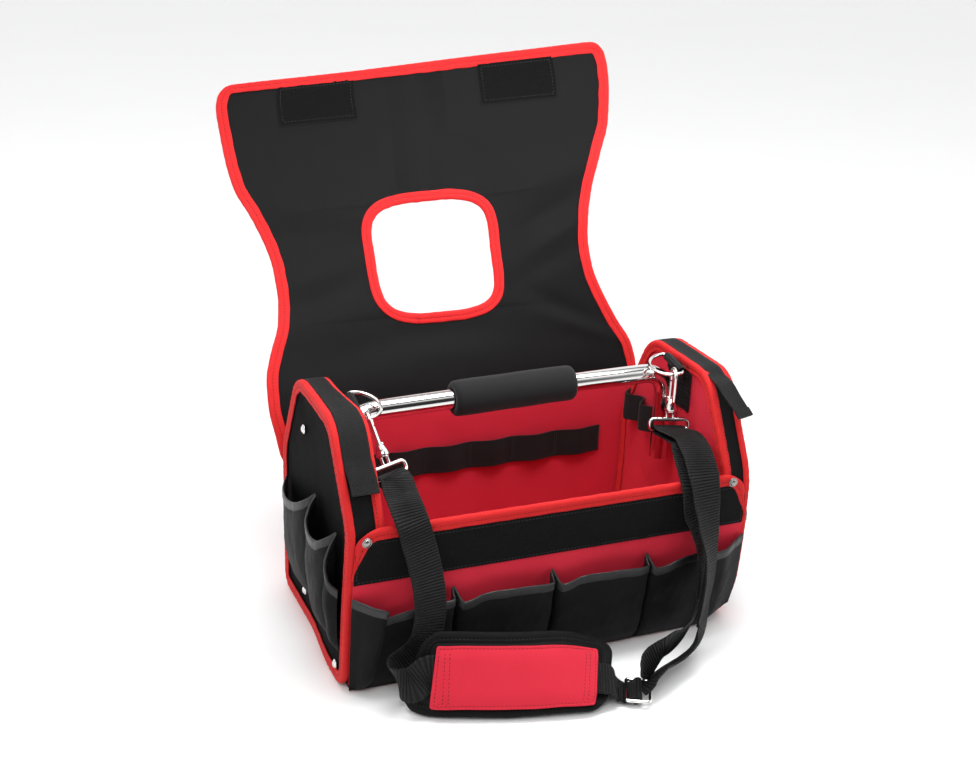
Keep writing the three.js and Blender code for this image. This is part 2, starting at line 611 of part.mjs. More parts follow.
// --------------------------------------------------------- front pockets
{
  const bottom = BASE_T + GAP + 0.5;
  const spot = (r, out, z) => V(r.x, -WALL_Y - out, z);
  const dirs = (grid) => grid.map((row) => row.map(() => V(0, -1, 0)));
  const cloth = pocketGrid(FRONT_FOLDS, bottom, SWELL.map((q) => q.h), spot);
  add('front_pockets', sheet(cloth, dirs(cloth), -0.5, CLOTH_T - 0.5), BLACK_CLOTH);

  // Tape along the pockets' open edge.
  const edge = pocketGrid(FRONT_FOLDS, bottom, [0.89, 1], spot);
  add('front_pocket_edge', sheet(edge, dirs(edge), CLOTH_T - 0.5 + GAP, CLOTH_T - 0.5 + GAP + 1), BLACK_CLOTH);
}

// ------------------------------------------------------------------ flap
const rad = THREE.MathUtils.degToRad;
{
  // The cloth is laid out row by row: each row leaves the one below it at its lean.
  const at = [];
  let l = null, r = null;
  FLAP_SECTIONS.forEach((q, i) => {
    if (i === 0) {
      l = V(q.left, FLAP_Y, BACK_TOP + q.v);
      r = V(q.right, FLAP_Y, BACK_TOP + q.v);
    } else {
      const dv = q.v - FLAP_SECTIONS[i - 1].v;
      l = V(q.left, l.y + dv * Math.sin(rad(q.leanL)), l.z + dv * Math.cos(rad(q.leanL)));
      r = V(q.right, r.y + dv * Math.sin(rad(q.leanR)), r.z + dv * Math.cos(rad(q.leanR)));
    }
    at.push([l.clone(), r.clone()]);
  });
  const sag = (v, t) => v < 20 ? 0 : 5 * Math.sin(Math.PI * t) * Math.min(1, (v - 20) / 150);
  const point = (i, t) => {
    const p = at[i][0].clone().lerp(at[i][1], t);
    p.y += sag(FLAP_SECTIONS[i].v, t);
    return p;
  };
  const across = (q, c) => 'window' in c ? q.w0 + (q.w1 - q.w0) * c.window
    : 'left' in c ? q.w0 * c.left : 1 - (1 - q.w1) * c.right;
  const grid = FLAP_SECTIONS.map((q, i) => FLAP_COLUMNS.map((c) => point(i, across(q, c))));
  const normalAt = (g, i, j) => {
    const a = g[Math.max(0, i - 1)][j], b = g[Math.min(g.length - 1, i + 1)][j];
    const c = g[i][Math.max(0, j - 1)], d = g[i][Math.min(g[0].length - 1, j + 1)];
    return V().crossVectors(d.clone().sub(c), b.clone().sub(a)).normalize();
  };
  const dirs = grid.map((row, i) => row.map((_, j) => normalAt(grid, i, j)));
  const rowOf = (v) => FLAP_SECTIONS.findIndex((q) => q.v === v);
  const w0 = rowOf(WINDOW.v0), w1 = rowOf(WINDOW.v1);
  const inWindow = (i, j) => i >= w0 && i < w1 && j >= WINDOW.c0 && j < WINDOW.c1;
  add('flap', sheet(grid, dirs, -FLAP_T / 2, FLAP_T / 2, inWindow), BLACK_CLOTH);

  // Bindings run round the flap's edge and round its window.
  const rimLoop = (cells, inward) => {
    const n = cells.length, pts = cells.map(([i, j]) => grid[i][j]), nor = cells.map(([i, j]) => dirs[i][j]);
    return loft(pts.map((p, k) => {
      const a = pts[(k + n - 1) % n], b = pts[(k + 1) % n];
      const ta = p.clone().sub(a).normalize(), tb = b.clone().sub(p).normalize();
      const oa = V().crossVectors(ta, nor[k]).normalize(), ob = V().crossVectors(tb, nor[k]).normalize();
      const o = oa.clone().add(ob).normalize();
      o.multiplyScalar((inward ? -1 : 1) / Math.max(0.5, o.dot(ob)));
      return [[GAP, -2], [GAP + 2.6, -2], [GAP + 2.6, 2], [GAP, 2]]
        .map(([e, h]) => p.clone().addScaledVector(o, e).addScaledVector(nor[k], h));
    }), true);
  };
  const R = FLAP_SECTIONS.length - 1, C = FLAP_COLUMNS.length - 1, loop = [];
  for (let j = 0; j <= C; j++) loop.push([0, j]);
  for (let i = 1; i <= R; i++) loop.push([i, C]);
  for (let j = C - 1; j >= 0; j--) loop.push([R, j]);
  for (let i = R - 1; i > 0; i--) loop.push([i, 0]);
  add('flap_binding', rimLoop(loop, false), RED_TAPE);
  const hole = [];
  for (let j = WINDOW.c0; j <= WINDOW.c1; j++) hole.push([w0, j]);
  for (let i = w0 + 1; i <= w1; i++) hole.push([i, WINDOW.c1]);
  for (let j = WINDOW.c1 - 1; j >= WINDOW.c0; j--) hole.push([w1, j]);
  for (let i = w1 - 1; i > w0; i--) hole.push([i, WINDOW.c0]);
  add('window_binding', rimLoop(hole, true), RED_TAPE);

  // Hook patches near the free edge, on the face seen with the flap open.
  const between = (v, t) => {
    const i = FLAP_SECTIONS.findIndex((q) => q.v > v) - 1;
    const f = (v - FLAP_SECTIONS[i].v) / (FLAP_SECTIONS[i + 1].v - FLAP_SECTIONS[i].v);
    return point(i, t).lerp(point(i + 1, t), f);
  };
  for (const k of FLAP_PATCHES) {
    const vs = [k.v0, 0.5 * (k.v0 + k.v1), k.v1], ts = [0, 0.25, 0.5, 0.75, 1].map((f) => k.t0 + (k.t1 - k.t0) * f);
    const g = vs.map((v) => ts.map((t) => between(v, t)));
    const d = g.map((row, i) => row.map((_, j) => normalAt(g, i, j)));
    const face = FLAP_T / 2 + 0.9;
    add(k.node, sheet(g, d.map((row) => row.map((q) => q.clone().multiplyScalar(q.y < 0 ? 1 : -1))), face, face + 1.2), LOOP_PILE);
  }
}

// ---------------------------------------------------------------- handle
{
  const path = new THREE.CurvePath();
  const k = TUBE_BEND, x = TUBE_LEG_X;
  path.add(new THREE.LineCurve3(V(-x, 0, TUBE_LEG_Z), V(-x, 0, TUBE_Z - k)));
  path.add(new THREE.QuadraticBezierCurve3(V(-x, 0, TUBE_Z - k), V(-x, 0, TUBE_Z), V(-x + k, 0, TUBE_Z)));
  path.add(new THREE.LineCurve3(V(-x + k, 0, TUBE_Z), V(x - k, 0, TUBE_Z)));
  path.add(new THREE.QuadraticBezierCurve3(V(x - k, 0, TUBE_Z), V(x, 0, TUBE_Z), V(x, 0, TUBE_Z - k)));
  path.add(new THREE.LineCurve3(V(x, 0, TUBE_Z - k), V(x, 0, TUBE_LEG_Z)));
  const pts = [V(-x, 0, TUBE_LEG_Z), V(-x, 0, TUBE_Z - k)];
  for (let i = 1; i <= 5; i++) pts.push(path.curves[1].getPoint(i / 5));
  pts.push(V(x - k, 0, TUBE_Z));
  for (let i = 1; i <= 5; i++) pts.push(path.curves[3].getPoint(i / 5));
  pts.push(V(x, 0, TUBE_LEG_Z));
  const rings = pts.map((p, i) => {
    const a = pts[Math.max(0, i - 1)], b = pts[Math.min(pts.length - 1, i + 1)];
    const t = b.clone().sub(a).normalize(), n = V().crossVectors(V(0, 1, 0), t).normalize();
    return circle(TUBE_R, 14).map((c) => p.clone().addScaledVector(V(0, 1, 0), c.x).addScaledVector(n, c.y));
  });
  add('handle_tube', loft(rings), CHROME);

  const h = GRIP_LEN / 2, r0 = TUBE_R + GAP;
  const prof = [[r0, -h], [GRIP_R - 2.5, -h], [GRIP_R, -h + 3], [GRIP_R, h - 3], [GRIP_R - 2.5, h], [r0, h], [r0, -h]]
    .map(([r, y]) => new THREE.Vector2(r, y));
  const grip = add('handle_grip', new THREE.LatheGeometry(prof, 18), FOAM);
  grip.rotation.z = -Math.PI / 2;
  grip.position.set(1, 0, TUBE_Z);
}

// ------------------------------------------------- D rings, tabs and hooks
const clips = {};
for (const k of CLIPS) {
  const e1 = V(0, -Math.cos(rad(k.dip)), -Math.sin(rad(k.dip)));
  const e2 = V(-k.s * Math.cos(rad(k.tilt)), 0, -Math.sin(rad(k.tilt)));
  e2.addScaledVector(e1, -e1.dot(e2)).normalize();
  const bar = V(k.s * k.ringX, k.ringY, k.ringZ);
  const n3 = V().crossVectors(e1, e2).normalize();

  const dee = [];
  for (let i = 0; i <= 4; i++) dee.push([-RING_HALF + 3 + (2 * RING_HALF - 6) * i / 4, 0]);
  dee.push([RING_HALF - 0.5, 1.2], [RING_HALF, RING_SIDE]);
  for (let i = 1; i < 8; i++) {
    const a = (i / 8) * Math.PI;
    dee.push([RING_HALF * Math.cos(a), RING_SIDE + RING_HALF * Math.sin(a)]);
  }
  dee.push([-RING_HALF, RING_SIDE], [-RING_HALF + 0.5, 1.2]);
  const rings = dee.map(([a, b], i) => {
    const p = dee[(i + dee.length - 1) % dee.length], q = dee[(i + 1) % dee.length];
    const t = new THREE.Vector2(q[0] - p[0], q[1] - p[1]).normalize();
    const o = e1.clone().multiplyScalar(t.y).addScaledVector(e2, -t.x);
    const c = bar.clone().addScaledVector(e1, a).addScaledVector(e2, b);
    return circle(RING_WIRE, 7).map((m) => c.clone().addScaledVector(o, m.x).addScaledVector(n3, m.y));
  });
  add(`${k.side}_d_ring`, loft(rings, true), CHROME);

  // Tab of webbing folded round the ring's straight side and sewn to the end.
  const tab = new THREE.Shape();
  tab.moveTo(-5.6, -13);
  tab.lineTo(-3.2, -13);
  for (let i = 0; i <= 10; i++) {
    const a = rad(219 + (i / 10) * 282);
    tab.lineTo(4.1 * Math.cos(a), 4.1 * Math.sin(a));
  }
  tab.lineTo(-5.6, 0.5);
  tab.holes.push(new THREE.Path(circle(RING_WIRE + 0.4, 10).reverse()));
  const len = 32;
  const g = new THREE.ExtrudeGeometry(tab, { depth: len, bevelEnabled: false, steps: 1 });
  g.translate(0, 0, -len / 2);
  const up = V().crossVectors(e1, V(k.s, 0, 0)).normalize();
  if (up.z < 0) up.negate();
  g.applyMatrix4(new THREE.Matrix4().makeBasis(V(-k.s, 0, 0), up, e1).setPosition(bar));
  add(`${k.side}_d_ring_tab`, g, BLACK_WEB);

  // Clip hook: local Y runs up the hook to the ring, local Z along the wire.
  const eye = bar.clone().addScaledVector(e1, RING_HALF * Math.cos(rad(k.bow)))
    .addScaledVector(e2, RING_SIDE + RING_HALF * Math.sin(rad(k.bow)));
  const lie = V(...k.lie).normalize();
  const up3 = lie.clone().negate();
  const zAxis = V(Math.cos(rad(k.turn)), Math.sin(rad(k.turn)), 0);
  zAxis.addScaledVector(up3, -up3.dot(zAxis)).normalize();
  const xAxis = V().crossVectors(up3, zAxis).normalize();
  const hook = new THREE.Group();
  hook.matrixAutoUpdate = true;
  const basis = new THREE.Matrix4().makeBasis(xAxis, up3, zAxis);
  hook.quaternion.setFromRotationMatrix(basis);
  hook.position.copy(eye);
  bag.add(hook);

  const claw = new THREE.Shape();
  const inR = 5.5, outR = 10, cy = -2.3;
  claw.moveTo(-outR, cy);
  for (let i = 1; i <= 10; i++) {
    const a = Math.PI - (i / 10) * Math.PI;
    claw.lineTo(outR * Math.cos(a), cy + outR * Math.sin(a));
  }
  claw.lineTo(outR, -8);
  claw.lineTo(inR, -8);
  claw.lineTo(inR, cy);
  for (let i = 1; i <= 8; i++) {
    const a = (i / 8) * Math.PI;
    claw.lineTo(inR * Math.cos(a), cy + inR * Math.sin(a));
  }
  claw.lineTo(-inR, -29.8);
  claw.lineTo(outR, -29.8);
  claw.lineTo(outR - 1, -32.5);
  claw.lineTo(5, -35.5);
  claw.lineTo(-5, -35.5);
  claw.lineTo(-outR, -30);
  const plate = (shape, z0, z1) => {
    const q = new THREE.ExtrudeGeometry(shape, { depth: z1 - z0, bevelEnabled: false, steps: 1 });
    q.translate(0, 0, z0);
    return q;
  };
  const cheek = new THREE.Shape([[4.6, -33], [9.2, -32], [10.4, -29], [10.4, -26], [8.8, -24.4], [6.4, -24.4], [4.6, -26]].map(([a, b]) => new THREE.Vector2(a, b)));
  const pin = plate(new THREE.Shape(circle(1, 8, 7.7, -27)), -3.3, 3.3);
  const collarProfile = [[0, -43], [5.4, -43], [6, -41.5], [6, -38], [5, -35], [3.2, -33.5], [0, -33]].map(([r, y]) => new THREE.Vector2(r, y));
  const bore = [[0, -36.2], [2.7, -36.2], [2.7, -45], [0, -45]].map(([r, y]) => new THREE.Vector2(r, y));
  const body = toManifold(plate(claw, -2.2, 2.2))
    .add(toManifold(plate(cheek, 1.9, 3.2)))
    .add(toManifold(plate(cheek, -3.2, -1.9)))
    .add(toManifold(pin))
    .add(toManifold(new THREE.LatheGeometry(collarProfile, 12)))
    .subtract(toManifold(new THREE.LatheGeometry(bore, 10)));
  add(`${k.side}_hook_claw`, fromManifold(body), CHROME, hook);

  // Gate: a lever on the pin, closing the mouth against the nose.
  const gate = new THREE.Shape([[5.7, -8.6], [9.7, -8.6], [9.7, -27]].map(([a, b]) => new THREE.Vector2(a, b)));
  for (let i = 1; i <= 5; i++) {
    const a = -(i / 6) * Math.PI;
    gate.lineTo(7.7 + 2 * Math.cos(a), -27 + 2 * Math.sin(a));
  }
  gate.lineTo(5.7, -27);
  gate.holes.push(new THREE.Path(circle(1.35, 8, 7.7, -27)));
  add(`${k.side}_hook_gate`, plate(gate, -1.5, 1.5), CHROME, hook);

  // Base: a loop for the strap with a post up into the collar.
  const base = new THREE.Group();
  base.rotation.y = rad(k.swivel);
  hook.add(base);
  const w = HOOK_BASE_HALF, y0 = -HOOK_LEN, y1 = -46.5, c = 3;
  const path = [[-w + c, y0], [-w / 2, y0], [0, y0], [w / 2, y0], [w - c, y0], [w - 0.9, y0 + 0.9], [w, y0 + c], [w, y1 - c], [w - 0.9, y1 - 0.9], [w - c, y1], [w / 2, y1], [0, y1], [-w / 2, y1], [-w + c, y1], [-w + 0.9, y1 - 0.9], [-w, y1 - c], [-w, y0 + c], [-w + 0.9, y0 + 0.9]];
  const frame = path.map(([a, b], i) => {
    const p = path[(i + path.length - 1) % path.length], q = path[(i + 1) % path.length];
    const t = new THREE.Vector2(q[0] - p[0], q[1] - p[1]).normalize();
    return circle(HOOK_BAR, 8).map((m) => V(m.y, b - t.x * m.x, a + t.y * m.x));
  });
  const post = [[0, -47.5], [4.2, -47.5], [4.6, -45], [3.6, -43.4], [2.2, -43.4], [2.2, -36.8], [0, -36.8]].map(([r, y]) => new THREE.Vector2(r, y));
  const baseBody = toManifold(loft(frame, true)).add(toManifold(new THREE.LatheGeometry(post, 10)));
  add(`${k.side}_hook_base`, fromManifold(baseBody), CHROME, base);

  base.updateWorldMatrix(true, false);
  clips[k.side] = {
    bar: V(0, -HOOK_LEN, 0).applyMatrix4(base.matrixWorld),
    along: V(0, 0, 1).transformDirection(base.matrixWorld),
    lead: V(...k.lead).normalize(),
    pin: V(7.7, -27, 0).applyMatrix4(hook.matrixWorld),
    axis: V(0, 0, 1).transformDirection(hook.matrixWorld),
  };
}

// --------------------------------------------------------- shoulder strap
{
  const turn = HOOK_BAR + WEB_T / 2 + 0.5;
  const web = flatSection(WEB_W, WEB_T);
  const L = clips.left, R = clips.right;
  const startL = turnAround(L.bar, L.along, L.lead, turn, 30);
  const pad = rail(PAD_PATH);
  // What lies on the pad turns where the pad does.
  const onPad = (table, sign) => {
    const rows = [], steps = PAD_STEPS * (PAD_PATH.length - 1);
    for (let k = 0; k <= steps; k++) {
      const u = k / steps, j = table.findIndex((q, i) => i > 0 && q.u >= u - 1e-9);
      if (u < table[0].u - 0.004 || j < 0) continue;
      const a = table[j - 1], b = table[j], f = (u - a.u) / (b.u - a.u);
      const q = pad(u), p = q.p.addScaledVector(q.w, a.across + (b.across - a.across) * f)
        .addScaledVector(q.n, a.lift + (b.lift - a.lift) * f);
      rows.push({ x: p.x, y: p.y, z: p.z, wx: sign * q.w.x, wy: sign * q.w.y, wz: sign * q.w.z, steps: 1 });
    }
    return rows;
  };
  const run = onPad(PAD_RUN, -1);
  add('strap_left', ribbon([...startL, ...STRAP_LEFT, ...run, ...STRAP_TO_SLIDE], web, 3), BLACK_WEB);
  const startR = turnAround(R.bar, R.along, R.lead, turn, 0);
  const backRun = [...STRAP_RIGHT_BACK].reverse();
  add('strap_right', ribbon([...backRun, ...startR, ...STRAP_RIGHT_FRONT], web, 3), BLACK_WEB);

  const soft = (w, t) => [[-w / 2, -t * 0.2], [-w / 2 + 3, -t / 2], [w / 2 - 3, -t / 2], [w / 2, -t * 0.2], [w / 2, t * 0.2], [w / 2 - 3, t / 2], [-w / 2 + 3, t / 2], [-w / 2, t * 0.2]];
  add('shoulder_pad', ribbon(PAD_PATH, soft(PAD_W, PAD_T), PAD_STEPS), BLACK_CLOTH);
  add('pad_patch', ribbon(onPad(PATCH_RUN, 1), flatSection(PATCH_W, 1.2), 1), RED_CLOTH);

  // Slide: a frame with a bar across its middle.
  const q = SLIDE;
  const slot = (q.halfL - q.bar - q.bar / 2);
  let f = toManifold(new THREE.BoxGeometry(2 * q.halfW, 2 * q.halfL, q.t));
  for (const a of [-1, 1]) {
    const cut = new THREE.BoxGeometry(2 * (q.halfW - q.bar), slot, q.t * 2);
    cut.translate(0, a * (q.bar / 2 + slot / 2), 0);
    f = f.subtract(toManifold(cut));
  }
  const g = fromManifold(f);
  const slide = add('slide_adjuster', g, CHROME);
  const w = V(0.4, 0.84, 0.36).normalize(), t = V(0.92, -0.38, 0).normalize();
  t.addScaledVector(w, -t.dot(w)).normalize();
  slide.quaternion.setFromRotationMatrix(new THREE.Matrix4().makeBasis(w, t, V().crossVectors(w, t)));
  slide.position.set(q.x, q.y, q.z);
}

// ------------------------------------------------------------- tool loops
function toolLoops(stations, swell, place) {
  const pts = [];
  for (let i = 0; i < stations.length - 1; i++) {
    for (let k = 0; k < 6; k++) {
      const f = k / 6;
      pts.push([stations[i] + (stations[i + 1] - stations[i]) * f, 1.2 + swell * Math.sin(Math.PI * f) ** 2]);
    }
  }
  pts.push([stations[stations.length - 1], 1.2]);
  return place(pts);
}
{
  const z0 = 101, z1 = 131;
  const g = toolLoops([-150, -100, -50, 0, 50, 100, 150], 7, (pts) => {
    const grid = [z0, z1].map((z) => pts.map(([x, o]) => V(x, WALL_Y - WALL_T - o, z)));
    return sheet(grid, grid.map((r) => r.map(() => V(0, -1, 0))), -0.7, 0.6);
  });
  add('back_tool_loops', g, ELASTIC);
  const h = toolLoops([18, 40, 62, 84], 7, (pts) => {
    const grid = [147, 175].map((z) => pts.map(([y, o]) => V(INNER_IN - o, y, z)));
    return sheet(grid, grid.map((r) => r.map(() => V(-1, 0, 0))), -0.7, 0.6);
  });
  add('right_tool_loops', h, ELASTIC);
}

export default bag;
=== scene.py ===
import math

import bmesh
import bpy
import numpy as np
from mathutils import Matrix, Vector


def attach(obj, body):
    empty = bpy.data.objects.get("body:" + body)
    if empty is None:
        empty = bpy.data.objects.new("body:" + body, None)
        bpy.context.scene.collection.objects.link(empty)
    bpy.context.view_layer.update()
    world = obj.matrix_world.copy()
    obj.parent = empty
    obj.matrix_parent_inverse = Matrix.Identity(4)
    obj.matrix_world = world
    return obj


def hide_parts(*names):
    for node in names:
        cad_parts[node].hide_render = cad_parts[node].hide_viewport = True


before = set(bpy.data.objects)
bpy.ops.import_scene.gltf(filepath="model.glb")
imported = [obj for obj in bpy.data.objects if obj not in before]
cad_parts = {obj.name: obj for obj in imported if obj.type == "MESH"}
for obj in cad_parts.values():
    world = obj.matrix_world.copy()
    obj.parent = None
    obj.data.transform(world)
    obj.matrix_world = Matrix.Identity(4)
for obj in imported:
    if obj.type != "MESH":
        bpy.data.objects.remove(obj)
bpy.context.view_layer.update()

MM = 0.001
BODY = "bag"

# --------------------------------------------------------------------------
# Sizes and tables, millimetres, the same as the part's source
# --------------------------------------------------------------------------
BASE_T, WALL_T, WALL_Y, WALL_X = 2.7, 2.5, 111.5, 195.8
FRONT_TOP, BACK_TOP = 161.0, 184.0
OUTER_IN, OUTER_OUT = 199.0, 201.4
GUSSET_IN, GUSSET_OUT = 179.6, 198.7
INNER_IN, INNER_OUT = 176.9, 179.3
TUBE_R, TUBE_Z, TUBE_LEG_X, TUBE_LEG_Z, TUBE_BEND = 9.5, 233.5, 167.0, 140.0, 25.0
GRIP_R, GRIP_LEN = 17.5, 127.0
RING_WIRE, RING_HALF, RING_SIDE = 1.8, 20.0, 5.0
HOOK_LEN, HOOK_BAR, HOOK_BASE_HALF = 57.0, 2.0, 20.0
WEB_W, WEB_T = 32.0, 1.6
PAD_W, PAD_T, PATCH_W = 76.0, 8.0, 56.0
FLAP_T, FLAP_Y = 2.2, 113.6

END_CORNERS = [  # y, z, corner radius
    (-107.0, 3.3, 22), (-108.7, 160, 66), (-58, 248.5, 38),
    (58, 248.5, 42), (108.7, 158, 60), (107.0, 3.3, 16),
]
FLAP_SECTIONS = np.array([  # v, left, right, leanL, leanR
    (-56, -192, 188, 0, 0), (-46, -201, 195, 0, 0), (-20, -207, 197, 2, 0),
    (10, -212, 197, 14, 8), (35, -211, 192, 24, 13), (62, -203, 177, 30, 16),
    (93, -190, 162, 35, 18), (103, -188, 158, 36, 19), (124, -185, 152, 36, 19),
    (152, -185, 150, 36, 20), (180, -189, 153, 36, 20), (200, -195, 158, 36, 19),
    (211, -199, 161, 36, 19), (242, -211, 173, 36, 19), (275, -215, 186, 36, 19),
    (326, -216, 191, 36, 19), (348, -211, 188, 36, 19), (357, -201, 179, 36, 19),
], float)
WINDOW = {"v0": 87.0, "v1": 211.0, "w0": 0.29, "w1": 0.711, "r": 30.0}
FLAP_PATCHES = [  # name, t0, t1, v0, v1
    ("flap_hook_patch_left", 0.15, 0.345, 306, 349),
    ("flap_hook_patch_right", 0.67, 0.865, 306, 349),
]
FRONT_FOLDS = np.array([  # x, out, top, slant of the fold towards its foot
    (-195, 2.5, 98, 0), (-188, 8, 95, 3), (-180, 15, 92, 10), (-173, 18, 90, 14), (-169.5, 17.5, 88, 15), (-168.3, 9, 76.5, 16),
    (-160, 9, 78, 13), (-135, 12.5, 83.5, 9), (-116, 14, 85.8, 7.5), (-106.5, 13.3, 86.3, 7), (-104.9, 12, 87, 7), (-104.3, 7, 90, 7), (-103.6, 3, 93, 7), (-102.5, 2.3, 94, 7),
    (-101.4, 2.6, 93.4, 7), (-100.4, 6, 90.5, 7), (-98.6, 11.5, 85.5, 7), (-95, 13.5, 82, 7), (-89, 14, 83.2, 7), (-78, 14.5, 87.2, 7), (-64, 15.5, 88.8, 7), (-42, 17, 88.8, 7), (-20, 16, 87.2, 7),
    (-11, 14.5, 86.3, 7), (-7.2, 13.3, 86.3, 7), (-6.2, 12, 87, 7), (-5.7, 7, 90, 7), (-5.1, 3, 93, 7), (-4.1, 2.3, 94, 7), (-3, 2.6, 93.4, 7), (-2, 6, 90.5, 7), (-0.3, 11.5, 85.5, 7),
    (3.4, 13.5, 82.5, 7), (9, 14, 83.6, 7), (20, 14.5, 87.6, 7), (34, 15.5, 89, 7), (56, 17, 89, 7), (78, 16, 87.3, 7), (88, 14.3, 86.3, 7), (91.8, 13.2, 86.3, 7), (92.8, 12, 86.8, 7),
    (93.3, 7, 89.8, 7), (93.9, 3, 93, 7), (94.9, 2.3, 94, 7), (96, 2.6, 93.4, 7), (97, 6, 90, 7), (98.6, 11.5, 85, 7), (102.4, 13.5, 82.3, 7), (112, 14, 83.5, 6), (122, 14, 87, 5),
    (134, 13, 89.5, 4), (148, 11, 90, 2), (158, 15, 89, 0), (168, 15, 90, 0), (183, 8, 94, 0), (195, 2.5, 98, 0),
], float)
END_FOLDS = np.array([  # y, out, top
    (94, 2.5, 128), (84, 8, 124), (62, 14, 126), (38, 17, 130), (17, 16.5, 136), (2, 13, 144), (-5, 8, 150), (-8, 2.5, 155), (-10.5, 3, 154),
    (-13.5, 9, 147), (-22, 15, 136), (-42, 17, 130), (-58, 15.5, 132), (-68, 12, 138), (-73, 7, 143), (-75.5, 2.5, 147), (-77.5, 3, 146),
    (-80, 9, 137), (-85.5, 14.5, 122), (-92, 13, 108), (-97, 5, 100),
], float)
SWELL = np.array([(0, 0.1), (0.14, 0.62), (0.5, 0.92), (1, 1)], float)
END_POCKET_BOTTOM = 36.0
END_RIVETS = {"top": (36, 203), "back": (38, 28), "front": (-82, 14.5)}
FRONT_RIVET = {"left": (-187.3, 152.2), "right": (181.5, 156.5)}
TOP_STRAP_ENDS = {
    "left": [(-187, -99, 192, 1, 0, 0), (-187, -94.5, 198, 1, 0, 0), (-187.2, -88, 206, 1, 0, 0)],
    "right": [(193.5, -105, 220, 0.97, -0.05, -0.22), (191.5, -98, 226.5, 0.98, 0, -0.18), (188.5, -86, 235.5, 0.99, 0, -0.1), (187.5, -72, 243.5, 1, 0, 0)],
}
CLIPS = {
    "left": dict(s=-1, bar=(-168.5, -17, 244), dip=15.6, tilt=6, lie=(12.5, -27, -51), turn=-23, swivel=39, bow=10, lead=(0.02, -0.86, -0.2)),
    "right": dict(s=1, bar=(168.5, -14, 247), dip=9, tilt=6, lie=(-3.5, -4.3, -51), turn=-15, swivel=2, bow=15, lead=(0.05, -1, 0.02)),
}
STRAP_LEFT = [  # x, y, z, wx, wy, wz
    (-147, -86, 184, 0.98, 0.15, 0.05), (-148.5, -105, 179.5, 1, 0.05, 0.05), (-147, -116.5, 170, 1, 0.05, 0),
    (-142, -121, 150, 1, 0.05, 0), (-136, -127, 121, 1, 0.1, 0), (-134, -133, 97, 1, 0.1, 0),
    (-134, -134, 80, 1, 0.1, 0), (-137, -134, 61, 0.96, 0.12, -0.22), (-144, -135, 47.5, 0.72, 0, -0.69),
    (-155, -138, 39.5, 0.38, -0.2, -0.9), (-166, -141.5, 34, 0.29, -0.4, -0.87), (-170.5, -148, 32, 0.29, -0.48, -0.83),
    (-169.5, -157, 30.5, 0.26, -0.46, -0.84), (-161.5, -164.8, 32, 0.12, -0.42, -0.9),
]
PAD_RUN = np.array([(0.11, 0, 8.2), (0.2, 1, 6.2), (0.6, -1, 5.9), (0.86, -4, 6.4), (1, -6, 6.4)], float)
STRAP_RIGHT_FRONT = [
    (157, -72, 192, 0.98, 0.2, 0), (152.5, -100, 185, 0.99, 0.1, 0.05), (149.5, -119, 172, 1, 0.02, 0.1),
    (150, -127.5, 153, 0.98, 0.14, 0.05), (150.3, -134.5, 128, 0.92, 0.39, -0.05), (151, -143.5, 98, 0.76, 0.64, -0.12),
    (148.6, -149, 72.8, 0.71, 0.68, -0.17), (143.9, -151.5, 47.4, 0.69, 0.71, -0.16), (142.6, -152, 36.8, 0.7, 0.65, -0.26),
    (140, -154, 25, 0.55, 0.45, -0.68), (129.5, -163.5, 18.2, 0.2, 0.4, -0.88), (116.5, -171.8, 14.5, -0.1, 0.66, -0.72),
    (104.9, -178.2, 13, -0.2, 0.72, -0.66), (93, -183.6, 12, -0.24, 0.74, -0.63), (80, -190.5, 12.6, -0.25, 0.7, -0.66), (72, -196, 13.8, -0.33, 0.58, -0.74), (66, -199.5, 13.6, -0.25, 0.66, -0.71), (60.5, -201.8, 12.2, -0.09, 0.77, -0.63), (55.5, -203.4, 9.8, 0, 0.91, -0.41), (51.5, -203.9, 8, 0.1, 0.96, -0.24), (48.4, -203.6, 6.8, 0.22, 0.96, -0.16),
]
STRAP_RIGHT_BACK = [
    (155.5, -72, 185.5, 0.98, 0.2, 0), (149, -86, 181.5, 0.98, 0.2, 0), (144.5, -104, 172.5, 0.97, 0.2, 0.05), (141.8, -116.8, 161, 0.97, 0.2, 0.05),
    (142.3, -121.5, 136, 0.94, 0.35, 0.03), (145.2, -126, 118, 0.8, 0.6, -0.04), (146, -131.5, 102, 0.7, 0.69, -0.15),
    (143.2, -140.5, 74.3, 0.64, 0.75, -0.2), (138.5, -146, 50, 0.45, 0.66, -0.6), (122, -162, 36.5, 0.07, 0.5, -0.86),
    (97.2, -178.3, 32.8, 0.2, 0.5, -0.84), (83.9, -186.6, 36.3, 0.5, 0.45, -0.74), (75.9, -188.1, 33.4, 0.48, 0.35, -0.8), (67.1, -190.2, 28.4, 0.47, 0.2, -0.86),
    (61.3, -193.4, 24.6, 0.57, 0.2, -0.8), (57.5, -196.5, 21.2, 0.58, 0.33, -0.75), (55.1, -198.9, 18.1, 0.58, 0.5, -0.65), (52.4, -200.6, 14.6, 0.54, 0.62, -0.56),
]
PAD_PATH = [
    (-156, -149, 38.2, 0.1, 0.22, 0.97), (-138.9, -159.8, 36.2, 0.14, 0.42, 0.9),
    (-111.8, -168.3, 34.8, 0.16, 0.5, 0.85), (-84.1, -177.2, 33.8, 0.18, 0.53, 0.83),
    (-55.8, -184.9, 32.8, 0.2, 0.56, 0.8), (-25.3, -189.3, 29.6, 0.27, 0.66, 0.7),
    (4.5, -191.8, 22, 0.34, 0.8, 0.49), (20, -194.5, 18.4, 0.38, 0.85, 0.37),
]
PATCH_RUN = np.array([(0.14, -3, 9.4), (0.6, -3, 8.2), (0.86, -3, 9.2)], float)
SLIDE = dict(x=44, y=-207, z=5.6, halfW=19, halfL=11.5, bar=3, t=2.6)
BACK_LOOPS = np.arange(-150, 151, 50.0)
RIGHT_LOOPS = np.array([30, 64, 96.0])


